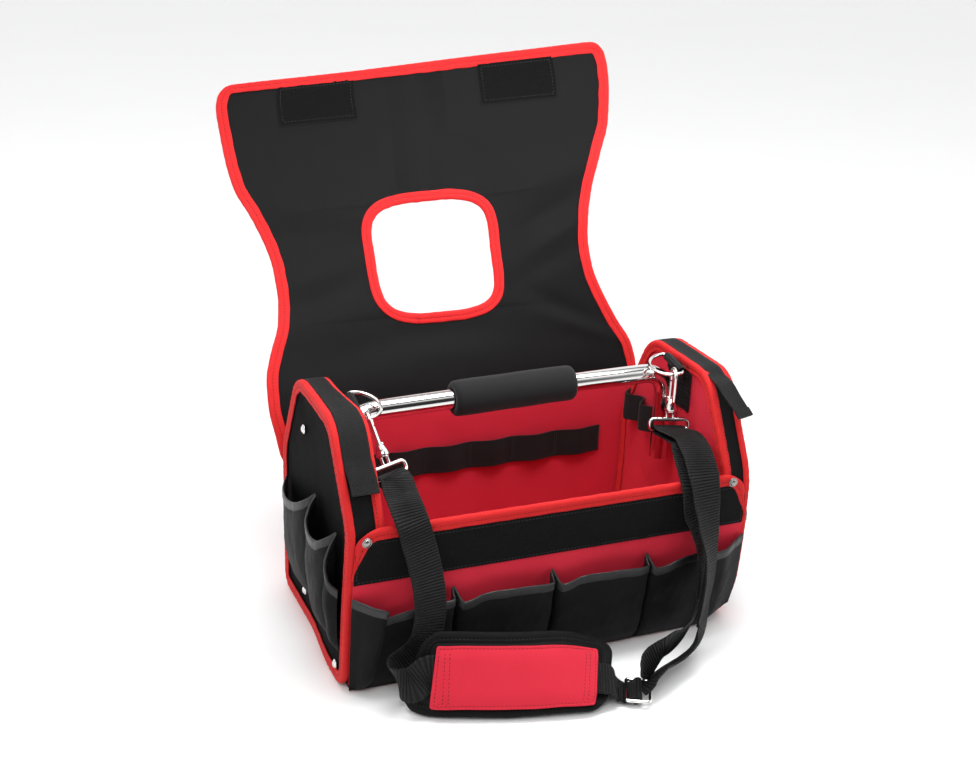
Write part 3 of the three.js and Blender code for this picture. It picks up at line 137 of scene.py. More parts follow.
# --------------------------------------------------------------------------
# Helpers
# --------------------------------------------------------------------------
def unit(v):
    v = np.asarray(v, float)
    return v / np.maximum(np.linalg.norm(v, axis=-1, keepdims=True), 1e-12)


def pchip(x, y, q):
    """Smooth interpolation that doesn't overshoot its rows."""
    x, y, q = (np.asarray(a, float) for a in (x, y, q))
    h, m = np.diff(x), np.zeros(len(x))
    d = np.diff(y) / h
    m[0], m[-1] = d[0], d[-1]
    for i in range(1, len(x) - 1):
        if d[i - 1] * d[i] > 0:
            a, b = 2 * h[i] + h[i - 1], h[i] + 2 * h[i - 1]
            m[i] = (a + b) / (a / d[i - 1] + b / d[i])
    k = np.clip(np.searchsorted(x, q, side="right") - 1, 0, len(h) - 1)
    t = np.clip((q - x[k]) / h[k], 0, 1)
    return (y[k] * (1 + 2 * t) * (1 - t) ** 2 + h[k] * m[k] * t * (1 - t) ** 2
            + y[k + 1] * t * t * (3 - 2 * t) + h[k] * m[k + 1] * t * t * (t - 1))


def ripple(s, period, seed, n=5):
    """Smooth one-dimensional wobble of about +-1."""
    r, out = np.random.default_rng(seed), 0.0
    for _ in range(n):
        out = out + np.sin(s * 2 * np.pi * (0.6 + 0.9 * r.random()) / period + 6.28 * r.random())
    return out / math.sqrt(n)


def ripple2(u, v, period, seed, n=7):
    """Smooth two-dimensional wobble of about +-1."""
    r, out = np.random.default_rng(seed), 0.0
    for _ in range(n):
        a, f = 6.28 * r.random(), 2 * np.pi * (0.6 + 0.9 * r.random()) / period
        out = out + np.sin((u * math.cos(a) + v * math.sin(a)) * f + 6.28 * r.random())
    return out / math.sqrt(n)


def arc(p, closed=False):
    d = np.linalg.norm(np.diff(p, axis=0), axis=1)
    return np.r_[0, np.cumsum(d)]


def resample(p, step, closed=False):
    p = np.asarray(p, float)
    if closed:
        p = np.vstack([p, p[:1]])
    s = arc(p)
    q = np.linspace(0, s[-1], max(3, int(round(s[-1] / step))) + 1)
    if closed:
        q = q[:-1]
    return np.stack([np.interp(q, s, p[:, k]) for k in range(p.shape[1])], 1)


def tangents(p, closed=False):
    if closed:
        return unit(np.roll(p, -1, 0) - np.roll(p, 1, 0))
    return unit(np.gradient(p, axis=0))


def smooth(x):
    x = np.clip(x, 0, 1)
    return x * x * (3 - 2 * x)


def settle(V):
    """The bag stands a little uneven: its ends lean, and the front's right foot is rounded."""
    V = np.array(V, float)
    x, y, z = V.T
    front = smooth((20 - y) / 90)
    out = smooth((np.abs(x) - 178) / 22)
    wall = smooth((-y - 108.5) / 2) * smooth((172 - z) / 6)
    left = smooth((-x - 110) / 70) * front * (out * np.interp(z, [0, 80, 158, 230], [-6, -4, 0, -2])
                                              + (1 - out) * (1 - wall) * np.interp(z, [60, 150, 250], [0, 6.5, 6]))
    right = smooth((x - 110) / 70) * np.interp(z, [0, 40, 90, 250], [-3, 3, 5.5, 5.5])
    foot = 20 * smooth((x - 158) / 44) ** 1.3 * np.clip(1 - z / 70, 0, 1) * smooth((-y - 90) / 22)
    V[:, 0] = x + left + right
    V[:, 2] = z + foot
    return V


def make(name, verts, faces, mats, nodes=(), uv=None, face_mat=None, sharp=38, body=BODY, rigid=False):
    """A mesh piece in the part's frame, faces turned outwards, with a weave map in millimetres."""
    me = bpy.data.meshes.new(name)
    verts = np.asarray(verts, float) if rigid else settle(verts)
    me.from_pydata((verts * MM).tolist(), [], faces)
    bm = bmesh.new()
    bm.from_mesh(me)
    bmesh.ops.recalc_face_normals(bm, faces=bm.faces)
    bm.to_mesh(me)
    bm.free()
    if uv is not None:
        layer = me.uv_layers.new(name="weave")
        li = np.zeros(len(me.loops), np.int32)
        me.loops.foreach_get("vertex_index", li)
        layer.data.foreach_set("uv", np.asarray(uv, np.float32)[li].ravel())
    for m in mats if isinstance(mats, (list, tuple)) else [mats]:
        me.materials.append(m)
    if face_mat is not None:
        me.polygons.foreach_set("material_index", np.asarray(face_mat, np.int32))
    me.shade_smooth()
    me.set_sharp_from_angle(angle=math.radians(sharp))
    me.update()
    o = bpy.data.objects.new(name, me)
    bpy.context.scene.collection.objects.link(o)
    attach(o, body)
    if nodes:
        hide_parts(*nodes)
    return o


def grid_faces(R, C, closed_r=False, closed_c=False, off=0, keep=None):
    i, j = np.meshgrid(np.arange(R if closed_r else R - 1), np.arange(C if closed_c else C - 1), indexing="ij")
    if keep is not None:
        i, j = i[keep], j[keep]
    i, j = i.ravel(), j.ravel()
    i2, j2 = (i + 1) % R, (j + 1) % C
    return np.stack([i * C + j, i * C + j2, i2 * C + j2, i2 * C + j], 1) + off


def shell(P, N, t0, t1, keep=None, uv=None):
    """A sheet: grid P given a thickness along N, cells left out where keep is false."""
    R, C = P.shape[:2]
    top, bot = P + N * np.asarray(t1)[..., None], P + N * np.asarray(t0)[..., None]
    keep = np.ones((R - 1, C - 1), bool) if keep is None else keep
    f = grid_faces(R, C, keep=keep)
    n = R * C
    faces = [f, f[:, ::-1] + n]
    pad = np.zeros((R + 1, C + 1), bool)
    pad[1:-1, 1:-1] = keep
    # rims along rows and along columns
    a = pad[:-1, 1:-1] != pad[1:, 1:-1]
    i, j = np.nonzero(a)
    faces.append(np.stack([i * C + j, i * C + j + 1, i * C + j + 1 + n, i * C + j + n], 1))
    b = pad[1:-1, :-1] != pad[1:-1, 1:]
    i, j = np.nonzero(b)
    faces.append(np.stack([i * C + j, (i + 1) * C + j, (i + 1) * C + j + n, i * C + j + n], 1))
    V = np.vstack([top.reshape(-1, 3), bot.reshape(-1, 3)])
    F = np.vstack(faces)
    if uv is None:
        du = np.linalg.norm(np.diff(P, axis=1), axis=2)
        dv = np.linalg.norm(np.diff(P, axis=0), axis=2)
        U = np.concatenate([np.zeros((R, 1)), np.cumsum(du, 1)], 1)
        W = np.concatenate([np.zeros((1, C)), np.cumsum(dv, 0)], 0)
        uv = np.stack([U, W], 2)
    uv = np.vstack([uv.reshape(-1, 2)] * 2)
    used, inv = np.unique(F, return_inverse=True)
    return V[used], inv.reshape(F.shape).tolist(), uv[used]


def grid_normals(P, flip=False):
    du, dv = np.gradient(P, axis=1), np.gradient(P, axis=0)
    n = unit(np.cross(du, dv))
    return -n if flip else n


def sweep(P, A, B, prof, closed=False, caps=True):
    """A profile of (a, b) points carried along P, a along A and b along B."""
    prof = np.asarray(prof, float)
    if prof.ndim == 2:
        prof = np.repeat(prof[None], len(P), 0)
    K, M = prof.shape[:2]
    V = P[:, None] + A[:, None] * prof[..., 0:1] + B[:, None] * prof[..., 1:2]
    faces = grid_faces(K, M, closed_r=closed, closed_c=True).tolist()
    if caps and not closed:
        faces += [list(range(M - 1, -1, -1)), list(range((K - 1) * M, K * M))]
    u = arc(P)
    pv = np.concatenate([np.zeros((K, 1)), np.cumsum(np.linalg.norm(np.diff(prof, axis=1), axis=2), 1)], 1)
    uv = np.stack([np.repeat(u[:, None], M, 1), pv], 2)
    return V.reshape(-1, 3), faces, uv.reshape(-1, 2)


def join(*parts):
    V, F, U, o = [], [], [], 0
    for v, f, u in parts:
        V.append(v), U.append(u)
        F += [[i + o for i in q] for q in f]
        o += len(v)
    return np.vstack(V), F, np.vstack(U)


def lathe(prof, n=32):
    """Profile of (radius, height) points turned about Z; the ends lie on the axis."""
    prof = np.asarray(prof, float)
    a = np.linspace(0, 2 * np.pi, n, endpoint=False)
    V = np.stack([np.cos(a)[:, None] * prof[None, :, 0], np.sin(a)[:, None] * prof[None, :, 0],
                  np.repeat(prof[None, :, 1], n, 0)], 2)
    M = len(prof)
    faces = []
    V = V.reshape(-1, 3)
    inner = grid_faces(n, M, closed_r=True).tolist()
    if prof[0, 0] < 1e-9 or prof[-1, 0] < 1e-9:
        # merge the points on the axis
        remap = np.arange(len(V))
        for k in (0, M - 1):
            if prof[k, 0] < 1e-9:
                remap[k::M] = k
        for q in inner:
            r = []
            for i in q:
                if remap[i] not in r:
                    r.append(int(remap[i]))
            if len(r) > 2:
                faces.append(r)
        used = sorted({i for q in faces for i in q})
        back = {u: i for i, u in enumerate(used)}
        return V[used], [[back[i] for i in q] for q in faces], np.zeros((len(used), 2))
    return V, inner, np.zeros((len(V), 2))


def place(part, origin, X, Y, Z):
    v, f, u = part
    M = np.stack([X, Y, Z], 1)
    return np.asarray(v) @ M.T + np.asarray(origin, float), f, u


STITCH = np.array([(-1, 0, -0.4), (-0.55, 1, 0), (-0.55, 0, 1), (-0.55, -1, 0),
                   (0.55, 1, 0), (0.55, 0, 1), (0.55, -1, 0), (1, 0, -0.4)])
STITCH_F = [(0, 2, 1), (0, 3, 2), (0, 1, 3), (1, 2, 5, 4), (2, 3, 6, 5), (3, 1, 4, 6), (7, 4, 5), (7, 5, 6), (7, 6, 4)]


def stitches(p, n, pitch=3.6, length=2.5, width=0.75, height=0.42, closed=False):
    """A row of thread stitches lying on a path p with surface normals n."""
    both = np.hstack([p, n])
    s = arc(np.vstack([p, p[:1]]) if closed else p)
    q = np.arange(pitch / 2, s[-1], pitch)
    src = np.vstack([both, both[:1]]) if closed else both
    c = np.stack([np.interp(q, s, src[:, k]) for k in range(6)], 1)
    e = 0.4
    a = np.stack([np.interp(np.clip(q - e, 0, s[-1]), s, src[:, k]) for k in range(3)], 1)
    b = np.stack([np.interp(np.clip(q + e, 0, s[-1]), s, src[:, k]) for k in range(3)], 1)
    t, nn = unit(b - a), unit(c[:, 3:])
    side = unit(np.cross(nn, t))
    nn = np.cross(t, side)
    T = STITCH * np.array([length / 2, width / 2, height])
    V = c[:, None, :3] + t[:, None] * T[None, :, 0:1] + side[:, None] * T[None, :, 1:2] + nn[:, None] * T[None, :, 2:3]
    F = [[i + 8 * k for i in f] for k in range(len(c)) for f in STITCH_F]
    return V.reshape(-1, 3), F, np.zeros((len(c) * 8, 2))


def rounded_loop(corners, segs=14):
    pts, n = [], len(corners)
    for i, (y, z, r) in enumerate(corners):
        at = np.array([y, z], float)
        a, b = np.array(corners[i - 1][:2], float) - at, np.array(corners[(i + 1) % n][:2], float) - at
        la, lb = np.linalg.norm(a), np.linalg.norm(b)
        a, b = a / la, b / lb
        half = math.acos(max(-1, min(1, a @ b))) / 2
        t = min(r / math.tan(half), la * 0.48, lb * 0.48)
        p0, p2 = at + a * t, at + b * t
        for k in range(segs + 1):
            f = k / segs
            pts.append((1 - f) ** 2 * p0 + 2 * f * (1 - f) * at + f * f * p2)
    return np.array(pts)


def loop_outward(L):
    """Outward unit normals of a closed loop of 2D points."""
    t = tangents(L, True)
    x, y = L[:, 0], L[:, 1]
    area = np.sum(x * np.roll(y, -1) - np.roll(x, -1) * y)
    n = np.stack([t[:, 1], -t[:, 0]], 1)
    return n if area > 0 else -n


def plate(L, center, to3, t0, t1, rings=16, bulge=None, keep_uv=None):
    """A flat panel with a closed outline L (K, 2): rings drawn in to a centre, two faces a thickness apart.
    to3 maps (a, b, h) to the frame; bulge(a, b, edge) shifts both faces."""
    s = np.r_[1.0, 0.985, 0.96, np.linspace(0.92, 0.04, rings)]
    Q = center + (L[None] - center) * s[:, None, None]
    e = (1 - s)[:, None] * np.ones(len(L))[None]
    h = np.zeros(Q.shape[:2]) if bulge is None else bulge(Q[..., 0], Q[..., 1], e)
    K, M = Q.shape[1], len(s)
    top = to3(Q[..., 0], Q[..., 1], h + t1)
    bot = to3(Q[..., 0], Q[..., 1], h + t0)
    f = grid_faces(M, K, closed_c=True)
    n = M * K
    faces = f.tolist() + (f[:, ::-1] + n).tolist()
    faces.append([(M - 1) * K + k for k in range(K)])
    faces.append([n + (M - 1) * K + k for k in range(K)][::-1])
    k = np.arange(K)
    faces += np.stack([k, (k + 1) % K, (k + 1) % K + n, k + n], 1).tolist()
    uv = np.vstack([Q.reshape(-1, 2)] * 2)
    return np.vstack([top.reshape(-1, 3), bot.reshape(-1, 3)]), faces, uv


class Rail:
    """A run of rows (x, y, z, wx, wy, wz): place, width direction and face direction along it."""

    def __init__(self, rows):
        r = np.array([q[:6] for q in rows], float)
        self.p, self.w = r[:, :3], unit(r[:, 3:6])
        self.n = len(r) - 1
        u = np.linspace(0, 1, self.n * 60 + 1)
        self.s = arc(self.point(u))
        self.u = u
        self.length = self.s[-1]

    def point(self, u):
        P, n = self.p, self.n
        x = np.asarray(u, float) * n
        i = np.clip(np.floor(x + 1e-9).astype(int), 0, n - 1)
        f = (x - i)[:, None]
        ext = np.vstack([2 * P[0] - P[1], P, 2 * P[-1] - P[-2]])
        p0, p1, p2, p3 = ext[i], ext[i + 1], ext[i + 2], ext[i + 3]
        d = [np.maximum(np.sum((b - a) ** 2, 1) ** 0.25, 1e-4)[:, None] for a, b in ((p0, p1), (p1, p2), (p2, p3))]
        t1 = ((p1 - p0) / d[0] - (p2 - p0) / (d[0] + d[1]) + (p2 - p1) / d[1]) * d[1]
        t2 = ((p2 - p1) / d[1] - (p3 - p1) / (d[1] + d[2]) + (p3 - p2) / d[2]) * d[1]
        return p1 + t1 * f + (-3 * p1 + 3 * p2 - 2 * t1 - t2) * f ** 2 + (2 * p1 - 2 * p2 + t1 + t2) * f ** 3

    def at(self, u):
        u = np.asarray(u, float)
        p = self.point(u)
        e = 1e-4
        t = unit(self.point(np.clip(u + e, 0, 1)) - self.point(np.clip(u - e, 0, 1)))
        x = u * self.n
        i = np.clip(np.floor(x + 1e-9).astype(int), 0, self.n - 1)
        f = (x - i)[:, None]
        f = f * f * (3 - 2 * f) * 0.5 + f * 0.5
        w = unit(self.w[i] * (1 - f) + self.w[i + 1] * f)
        w = unit(w - t * np.sum(w * t, 1, keepdims=True))
        return p, w, np.cross(t, w), t

    def even(self, step):
        q = np.linspace(0, self.length, max(4, int(round(self.length / step))) + 1)
        return np.interp(q, self.s, self.u), q


# --------------------------------------------------------------------------
# Materials
# --------------------------------------------------------------------------
def new_material(name):
    m = bpy.data.materials.new(name)
    m.use_nodes = True
    nt = m.node_tree
    nt.nodes.clear()
    out = nt.nodes.new("ShaderNodeOutputMaterial")
    b = nt.nodes.new("ShaderNodeBsdfPrincipled")
    nt.links.new(b.outputs[0], out.inputs[0])
    return m, nt, b


def node(nt, kind, **values):
    n = nt.nodes.new(kind)
    for k, v in values.items():
        if hasattr(n, k):
            setattr(n, k, v)
        else:
            n.inputs[k].default_value = v
    return n


def math_node(nt, op, a, b=None):
    n = nt.nodes.new("ShaderNodeMath")
    n.operation = op
    for i, v in enumerate((a, b)):
        if v is None:
            continue
        if isinstance(v, (int, float)):
            n.inputs[i].default_value = v
        else:
            nt.links.new(v, n.inputs[i])
    return n.outputs[0]


def colour_mix(nt, fac, a, b):
    n = nt.nodes.new("ShaderNodeMix")
    n.data_type = "RGBA"
    nt.links.new(fac, n.inputs[0])
    n.inputs[6].default_value = (*a, 1)
    n.inputs[7].default_value = (*b, 1)
    return n.outputs[2]


def weave_waves(nt, pu, pv, twill=False, ribbed=False):
    """Height of a woven cloth from its own weave map: two crossing sets of threads."""
    uv = nt.nodes.new("ShaderNodeUVMap")
    uv.uv_map = "weave"
    sep = nt.nodes.new("ShaderNodeSeparateXYZ")
    nt.links.new(uv.outputs[0], sep.inputs[0])
    u, v = sep.outputs[0], sep.outputs[1]
    if twill:
        d = math_node(nt, "ADD", math_node(nt, "MULTIPLY", u, 2 * math.pi / pu), math_node(nt, "MULTIPLY", v, 2 * math.pi / pv))
        return math_node(nt, "SINE", d)
    a = math_node(nt, "SINE", math_node(nt, "MULTIPLY", u, 2 * math.pi / pu))
    b = math_node(nt, "SINE", math_node(nt, "MULTIPLY", v, 2 * math.pi / pv))
    if ribbed:
        a = math_node(nt, "COSINE", math_node(nt, "MULTIPLY", u, 2 * math.pi / pu))
        return math_node(nt, "ADD", math_node(nt, "MULTIPLY", a, 0.75), math_node(nt, "MULTIPLY", math_node(nt, "MULTIPLY", a, b), 0.25))
    return math_node(nt, "MULTIPLY", a, b)


def fabric(name, dark, light, rough=0.8, sheen=0.25, tint=(1, 1, 1), pu=1.0, pv=1.0, twill=False, ribbed=False,
           bump=0.35, depth=0.00025, grain=700, cloud=14, spec=0.3, sheen_rough=0.45, weave_crest_highlight=0.35):
    """Woven cloth: threads in the bump, the colour lighter on their raised crests as a painted highlight, a cloudy
    tone, a fine grain and a sheen.
    """
    m, nt, b = new_material(name)
    co = nt.nodes.new("ShaderNodeTexCoord")
    cloudy = node(nt, "ShaderNodeTexNoise", Scale=cloud, Detail=5, Roughness=0.6)
    fine = node(nt, "ShaderNodeTexNoise", Scale=grain, Detail=3, Roughness=0.7)
    for n in (cloudy, fine):
        nt.links.new(co.outputs["Object"], n.inputs["Vector"])
    w = weave_waves(nt, pu, pv, twill, ribbed)
    half = math_node(nt, "ADD", math_node(nt, "MULTIPLY", w, 0.5), 0.5)
    tone = math_node(nt, "ADD", math_node(nt, "MULTIPLY", cloudy.outputs[0], 0.55), math_node(nt, "MULTIPLY", fine.outputs[0], 0.3))
    # painted highlight: the raised threads and the webbing's ribs are drawn lighter in the colour
    tone = math_node(nt, "ADD", tone, math_node(nt, "MULTIPLY", half, weave_crest_highlight))
    tone = math_node(nt, "SUBTRACT", tone, 0.1 + weave_crest_highlight * 0.5)
    nt.links.new(colour_mix(nt, tone, dark, light), b.inputs["Base Color"])
    ro = math_node(nt, "ADD", math_node(nt, "MULTIPLY", fine.outputs[0], 0.16), rough - 0.08)
    nt.links.new(ro, b.inputs["Roughness"])
    b.inputs["Specular IOR Level"].default_value = spec
    b.inputs["Sheen Weight"].default_value = sheen
    b.inputs["Sheen Roughness"].default_value = sheen_rough
    b.inputs["Sheen Tint"].default_value = (*tint, 1)
    bp = node(nt, "ShaderNodeBump", Strength=bump, Distance=depth)
    h = math_node(nt, "ADD", math_node(nt, "MULTIPLY", w, 0.5), math_node(nt, "MULTIPLY", fine.outputs[0], 0.8))
    nt.links.new(h, bp.inputs["Height"])
    nt.links.new(bp.outputs[0], b.inputs["Normal"])
    return m


def pile(name, dark, light, rough=0.95, sheen=0.35):
    """Hook-and-loop pile: a fine clumpy fuzz."""
    m, nt, b = new_material(name)
    co = nt.nodes.new("ShaderNodeTexCoord")
    a = node(nt, "ShaderNodeTexNoise", Scale=420, Detail=4, Roughness=0.75)
    c = node(nt, "ShaderNodeTexVoronoi", Scale=900)
    for n in (a, c):
        nt.links.new(co.outputs["Object"], n.inputs["Vector"])
    tone = math_node(nt, "MULTIPLY", math_node(nt, "SUBTRACT", a.outputs[0], 0.32), 2.2)
    nt.links.new(colour_mix(nt, tone, dark, light), b.inputs["Base Color"])
    b.inputs["Roughness"].default_value = rough
    b.inputs["Specular IOR Level"].default_value = 0.12
    b.inputs["Sheen Weight"].default_value = sheen
    b.inputs["Sheen Roughness"].default_value = 0.6
    bp = node(nt, "ShaderNodeBump", Strength=0.9, Distance=0.0006)
    nt.links.new(math_node(nt, "ADD", a.outputs[0], math_node(nt, "MULTIPLY", c.outputs[0], 0.6)), bp.inputs["Height"])
    nt.links.new(bp.outputs[0], b.inputs["Normal"])
    return m


def foam(name):
    m, nt, b = new_material(name)
    co = nt.nodes.new("ShaderNodeTexCoord")
    a = node(nt, "ShaderNodeTexNoise", Scale=900, Detail=4, Roughness=0.7)
    c = node(nt, "ShaderNodeTexVoronoi", Scale=1300)
    for n in (a, c):
        nt.links.new(co.outputs["Object"], n.inputs["Vector"])
    nt.links.new(colour_mix(nt, a.outputs[0], (0.003, 0.003, 0.0033), (0.0095, 0.0095, 0.0102)), b.inputs["Base Color"])
    nt.links.new(math_node(nt, "ADD", math_node(nt, "MULTIPLY", a.outputs[0], 0.2), 0.72), b.inputs["Roughness"])
    b.inputs["Specular IOR Level"].default_value = 0.2
    b.inputs["Sheen Weight"].default_value = 0.08
    bp = node(nt, "ShaderNodeBump", Strength=0.5, Distance=0.0004)
    nt.links.new(math_node(nt, "ADD", a.outputs[0], c.outputs[0]), bp.inputs["Height"])
    nt.links.new(bp.outputs[0], b.inputs["Normal"])
    return m


def plated(name, colour=(0.83, 0.83, 0.82), rough=0.09, stain=0.06):
    """Bright plated metal with faint haze and handling marks."""
    m, nt, b = new_material(name)
    co = nt.nodes.new("ShaderNodeTexCoord")
    a = node(nt, "ShaderNodeTexNoise", Scale=38, Detail=6, Roughness=0.65)
    c = node(nt, "ShaderNodeTexNoise", Scale=340, Detail=2)
    for n in (a, c):
        nt.links.new(co.outputs["Object"], n.inputs["Vector"])
    nt.links.new(colour_mix(nt, a.outputs[0], tuple(x * 0.93 for x in colour), colour), b.inputs["Base Color"])
    b.inputs["Metallic"].default_value = 1.0
    nt.links.new(math_node(nt, "ADD", math_node(nt, "MULTIPLY", a.outputs[0], stain * 2), rough - stain), b.inputs["Roughness"])
    bp = node(nt, "ShaderNodeBump", Strength=0.04, Distance=0.0002)
    nt.links.new(c.outputs[0], bp.inputs["Height"])
    nt.links.new(bp.outputs[0], b.inputs["Normal"])
    return m


BLACK = fabric("black_cloth", (0.0012, 0.0012, 0.0014), (0.0046, 0.0046, 0.0051), rough=0.58, sheen=0.018, pu=0.9, pv=0.9, bump=0.6, spec=0.13, grain=560)
# painted shade: a darker, less glossy copy of the black cloth for the end panels, which face away from the light
SHADED_SIDE_CLOTH = fabric("side_cloth_painted_shade", (0.0010, 0.0010, 0.0011), (0.0036, 0.0036, 0.0040), rough=0.75, sheen=0.0, pu=0.9, pv=0.9, bump=0.6, spec=0.05, grain=560)
RED = fabric("red_cloth", (0.50, 0.0130, 0.031), (0.70, 0.0320, 0.059), rough=0.8, sheen=0.06, tint=(1, 0.3, 0.3), pu=0.9, pv=0.9, spec=0.2)
TAPE = fabric("red_tape", (0.50, 0.010, 0.011), (0.70, 0.024, 0.025), rough=0.72, sheen=0.08, tint=(1, 0.3, 0.3), pu=1.7, pv=1.4, twill=True, bump=0.6, depth=0.0004, spec=0.2, weave_crest_highlight=0.5)
# webbing: its ribs carry a strong painted highlight in the colour
WEB = fabric("webbing", (0.0006, 0.0006, 0.0007), (0.0120, 0.0120, 0.0130), rough=0.6, sheen=0.02, pu=2.8, pv=1.2, ribbed=True, bump=0.9, depth=0.0007, spec=0.2, weave_crest_highlight=1.2)
WEB_FINE = fabric("webbing_fine", (0.0008, 0.0008, 0.0009), (0.0105, 0.0105, 0.0114), rough=0.6, sheen=0.02, pu=2.0, pv=2.0, bump=0.9, depth=0.0006, spec=0.2, weave_crest_highlight=1.0)
ELASTIC = fabric("elastic", (0.002, 0.002, 0.0022), (0.0105, 0.0105, 0.0115), rough=0.8, sheen=0.05, pu=1.5, pv=3.0, bump=0.6, depth=0.0004, weave_crest_highlight=0.6)
EDGE = fabric("edge_tape", (0.0034, 0.0036, 0.0042), (0.0088, 0.0092, 0.0104), rough=0.42, sheen=0.02, pu=1.6, pv=1.6, bump=0.25, spec=0.5)
LOOP = pile("loop_pile", (0.0005, 0.0005, 0.0006), (0.0034, 0.0034, 0.0037), sheen=0.035)
FOAM = foam("foam")
CHROME = plated("chrome", colour=(0.78, 0.775, 0.765), rough=0.075, stain=0.045)
# painted reflection: a darkened copy of the chrome for the front rivets, standing in for the dark surroundings they
# reflect
CHROME_PAINTED_DARK_REFLECTION = plated("chrome_painted_dark_reflection", colour=(0.30, 0.29, 0.28), rough=0.12)
THREAD_RED = fabric("thread_red", (0.12, 0.002, 0.003), (0.22, 0.004, 0.005), rough=0.7, sheen=0.05, pu=0.8, pv=0.8, bump=0.1)
THREAD_BLACK = fabric("thread_black", (0.006, 0.006, 0.0065), (0.022, 0.022, 0.024), rough=0.6, sheen=0.1, pu=0.8, pv=0.8, bump=0.1)


# --------------------------------------------------------------------------
# Camera, floor and light
# --------------------------------------------------------------------------
def set_stage():
    cam = bpy.data.cameras.new("camera")
    cam.sensor_fit, cam.sensor_width, cam.lens = "HORIZONTAL", 36, 54.65
    cam.clip_end = 100
    o = bpy.data.objects.new("camera", cam)
    bpy.context.scene.collection.objects.link(o)
    r, u, f = (0.9231, -0.3829, 0.0348), (0.1083, 0.3460, 0.9320), (0.3689, 0.8566, -0.3609)
    c = (-0.5559, -1.2255, 0.7601)
    o.matrix_world = Matrix([[r[k], u[k], -f[k], c[k]] for k in range(3)] + [[0, 0, 0, 1]])
    bpy.context.scene.camera = o

    me = bpy.data.meshes.new("floor")
    g = 14.0
    me.from_pydata([(-g, -g, -0.0004), (g, -g, -0.0004), (g, g, -0.0004), (-g, g, -0.0004)], [], [(0, 1, 2, 3)])
    floor = bpy.data.objects.new("floor", me)
    bpy.context.scene.collection.objects.link(floor)
    m, nt, b = new_material("pale_floor")
    co = nt.nodes.new("ShaderNodeTexCoord")
    n = node(nt, "ShaderNodeTexNoise", Scale=3, Detail=3)
    nt.links.new(co.outputs["Object"], n.inputs["Vector"])
    nt.links.new(colour_mix(nt, n.outputs[0], (0.93, 0.93, 0.93), (0.95, 0.95, 0.95)), b.inputs["Base Color"])
    b.inputs["Roughness"].default_value = 0.7
    b.inputs["Specular IOR Level"].default_value = 0.1
    me.materials.append(m)

    w = bpy.data.worlds.new("studio")
    bpy.context.scene.world = w
    w.use_nodes = True
    nt = w.node_tree
    nt.nodes.clear()
    out = nt.nodes.new("ShaderNodeOutputWorld")
    bg = nt.nodes.new("ShaderNodeBackground")
    co = nt.nodes.new("ShaderNodeTexCoord")
    dot = nt.nodes.new("ShaderNodeVectorMath")
    dot.operation = "DOT_PRODUCT"
    dot.inputs[1].default_value = Vector((0.0, -0.96, 0.28)).normalized()
    ramp = nt.nodes.new("ShaderNodeValToRGB")
    ramp.color_ramp.elements[0].position, ramp.color_ramp.elements[0].color = 0.80, (1, 1, 1, 1)
    ramp.color_ramp.elements[1].position, ramp.color_ramp.elements[1].color = 0.91, (0.03, 0.03, 0.032, 1)
    nt.links.new(co.outputs["Generated"], dot.inputs[0])
    nt.links.new(dot.outputs["Value"], ramp.inputs[0])
    # gaps between the soft boxes overhead
    sep = nt.nodes.new("ShaderNodeSeparateXYZ")
    nt.links.new(co.outputs["Generated"], sep.inputs[0])
    gap = nt.nodes.new("ShaderNodeValToRGB")
    e = gap.color_ramp.elements
    e[0].position, e[0].color = 0.74, (1, 1, 1, 1)
    e[1].position, e[1].color = 0.78, (0.12, 0.12, 0.125, 1)
    for at, tone in ((0.84, 0.12), (0.88, 1.0)):
        k = e.new(at)
        k.color = (tone, tone, tone, 1)
    nt.links.new(sep.outputs[2], gap.inputs[0])
    mul = nt.nodes.new("ShaderNodeMix")
    mul.data_type, mul.blend_type = "RGBA", "MULTIPLY"
    mul.inputs[0].default_value = 1.0
    nt.links.new(ramp.outputs[0], mul.inputs[6])
    nt.links.new(gap.outputs[0], mul.inputs[7])
    nt.links.new(mul.outputs[2], bg.inputs[0])
    bg.inputs[1].default_value = 1.16
    nt.links.new(bg.outputs[0], out.inputs[0])

    def area(name, at, to, size, power):
        d = bpy.data.lights.new(name, "AREA")
        d.energy, d.shape, d.size, d.size_y = power, "RECTANGLE", size[0], size[1]
        q = bpy.data.objects.new(name, d)
        bpy.context.scene.collection.objects.link(q)
        q.location = at
        q.rotation_mode = "QUATERNION"
        q.rotation_quaternion = (Vector(to) - Vector(at)).to_track_quat("-Z", "Y")
        q.visible_camera = False
    area("key", (-0.9, -1.9, 2.4), (0, 0, 0.2), (1.3, 1.0), 19)
    area("fill", (2.0, -1.3, 1.5), (0, 0, 0.2), (1.2, 1.2), 7)
    area("top", (0.1, 0.4, 2.7), (0, 0, 0.2), (2.2, 1.6), 18)
    area("inside", (0.0, -0.06, 0.62), (0, 0.14, 0.26), (0.6, 0.14), 2.9)
    v = bpy.context.scene.view_settings
    v.view_transform, v.look = "Standard", "None"
    v.exposure, v.gamma = 0.0, 1.0


set_stage()


# --------------------------------------------------------------------------
# Boxed ends
# --------------------------------------------------------------------------
END_L = resample(rounded_loop(END_CORNERS), 2.5, closed=True)
END_O = loop_outward(END_L)
END_S = np.r_[0, np.cumsum(np.linalg.norm(np.diff(np.vstack([END_L, END_L[:1]]), axis=0), axis=1))][:-1]
END_C = np.array([0.0, 118.0])


def end_frames(s):
    """Points of the end's outline with its outward direction and the way to the outside."""
    P = np.stack([np.zeros(len(END_L)), END_L[:, 0], END_L[:, 1]], 1)
    A = np.stack([np.zeros(len(END_L)), END_O[:, 0], END_O[:, 1]], 1)
    B = np.tile([float(s), 0, 0], (len(END_L), 1))
    return P, A, B


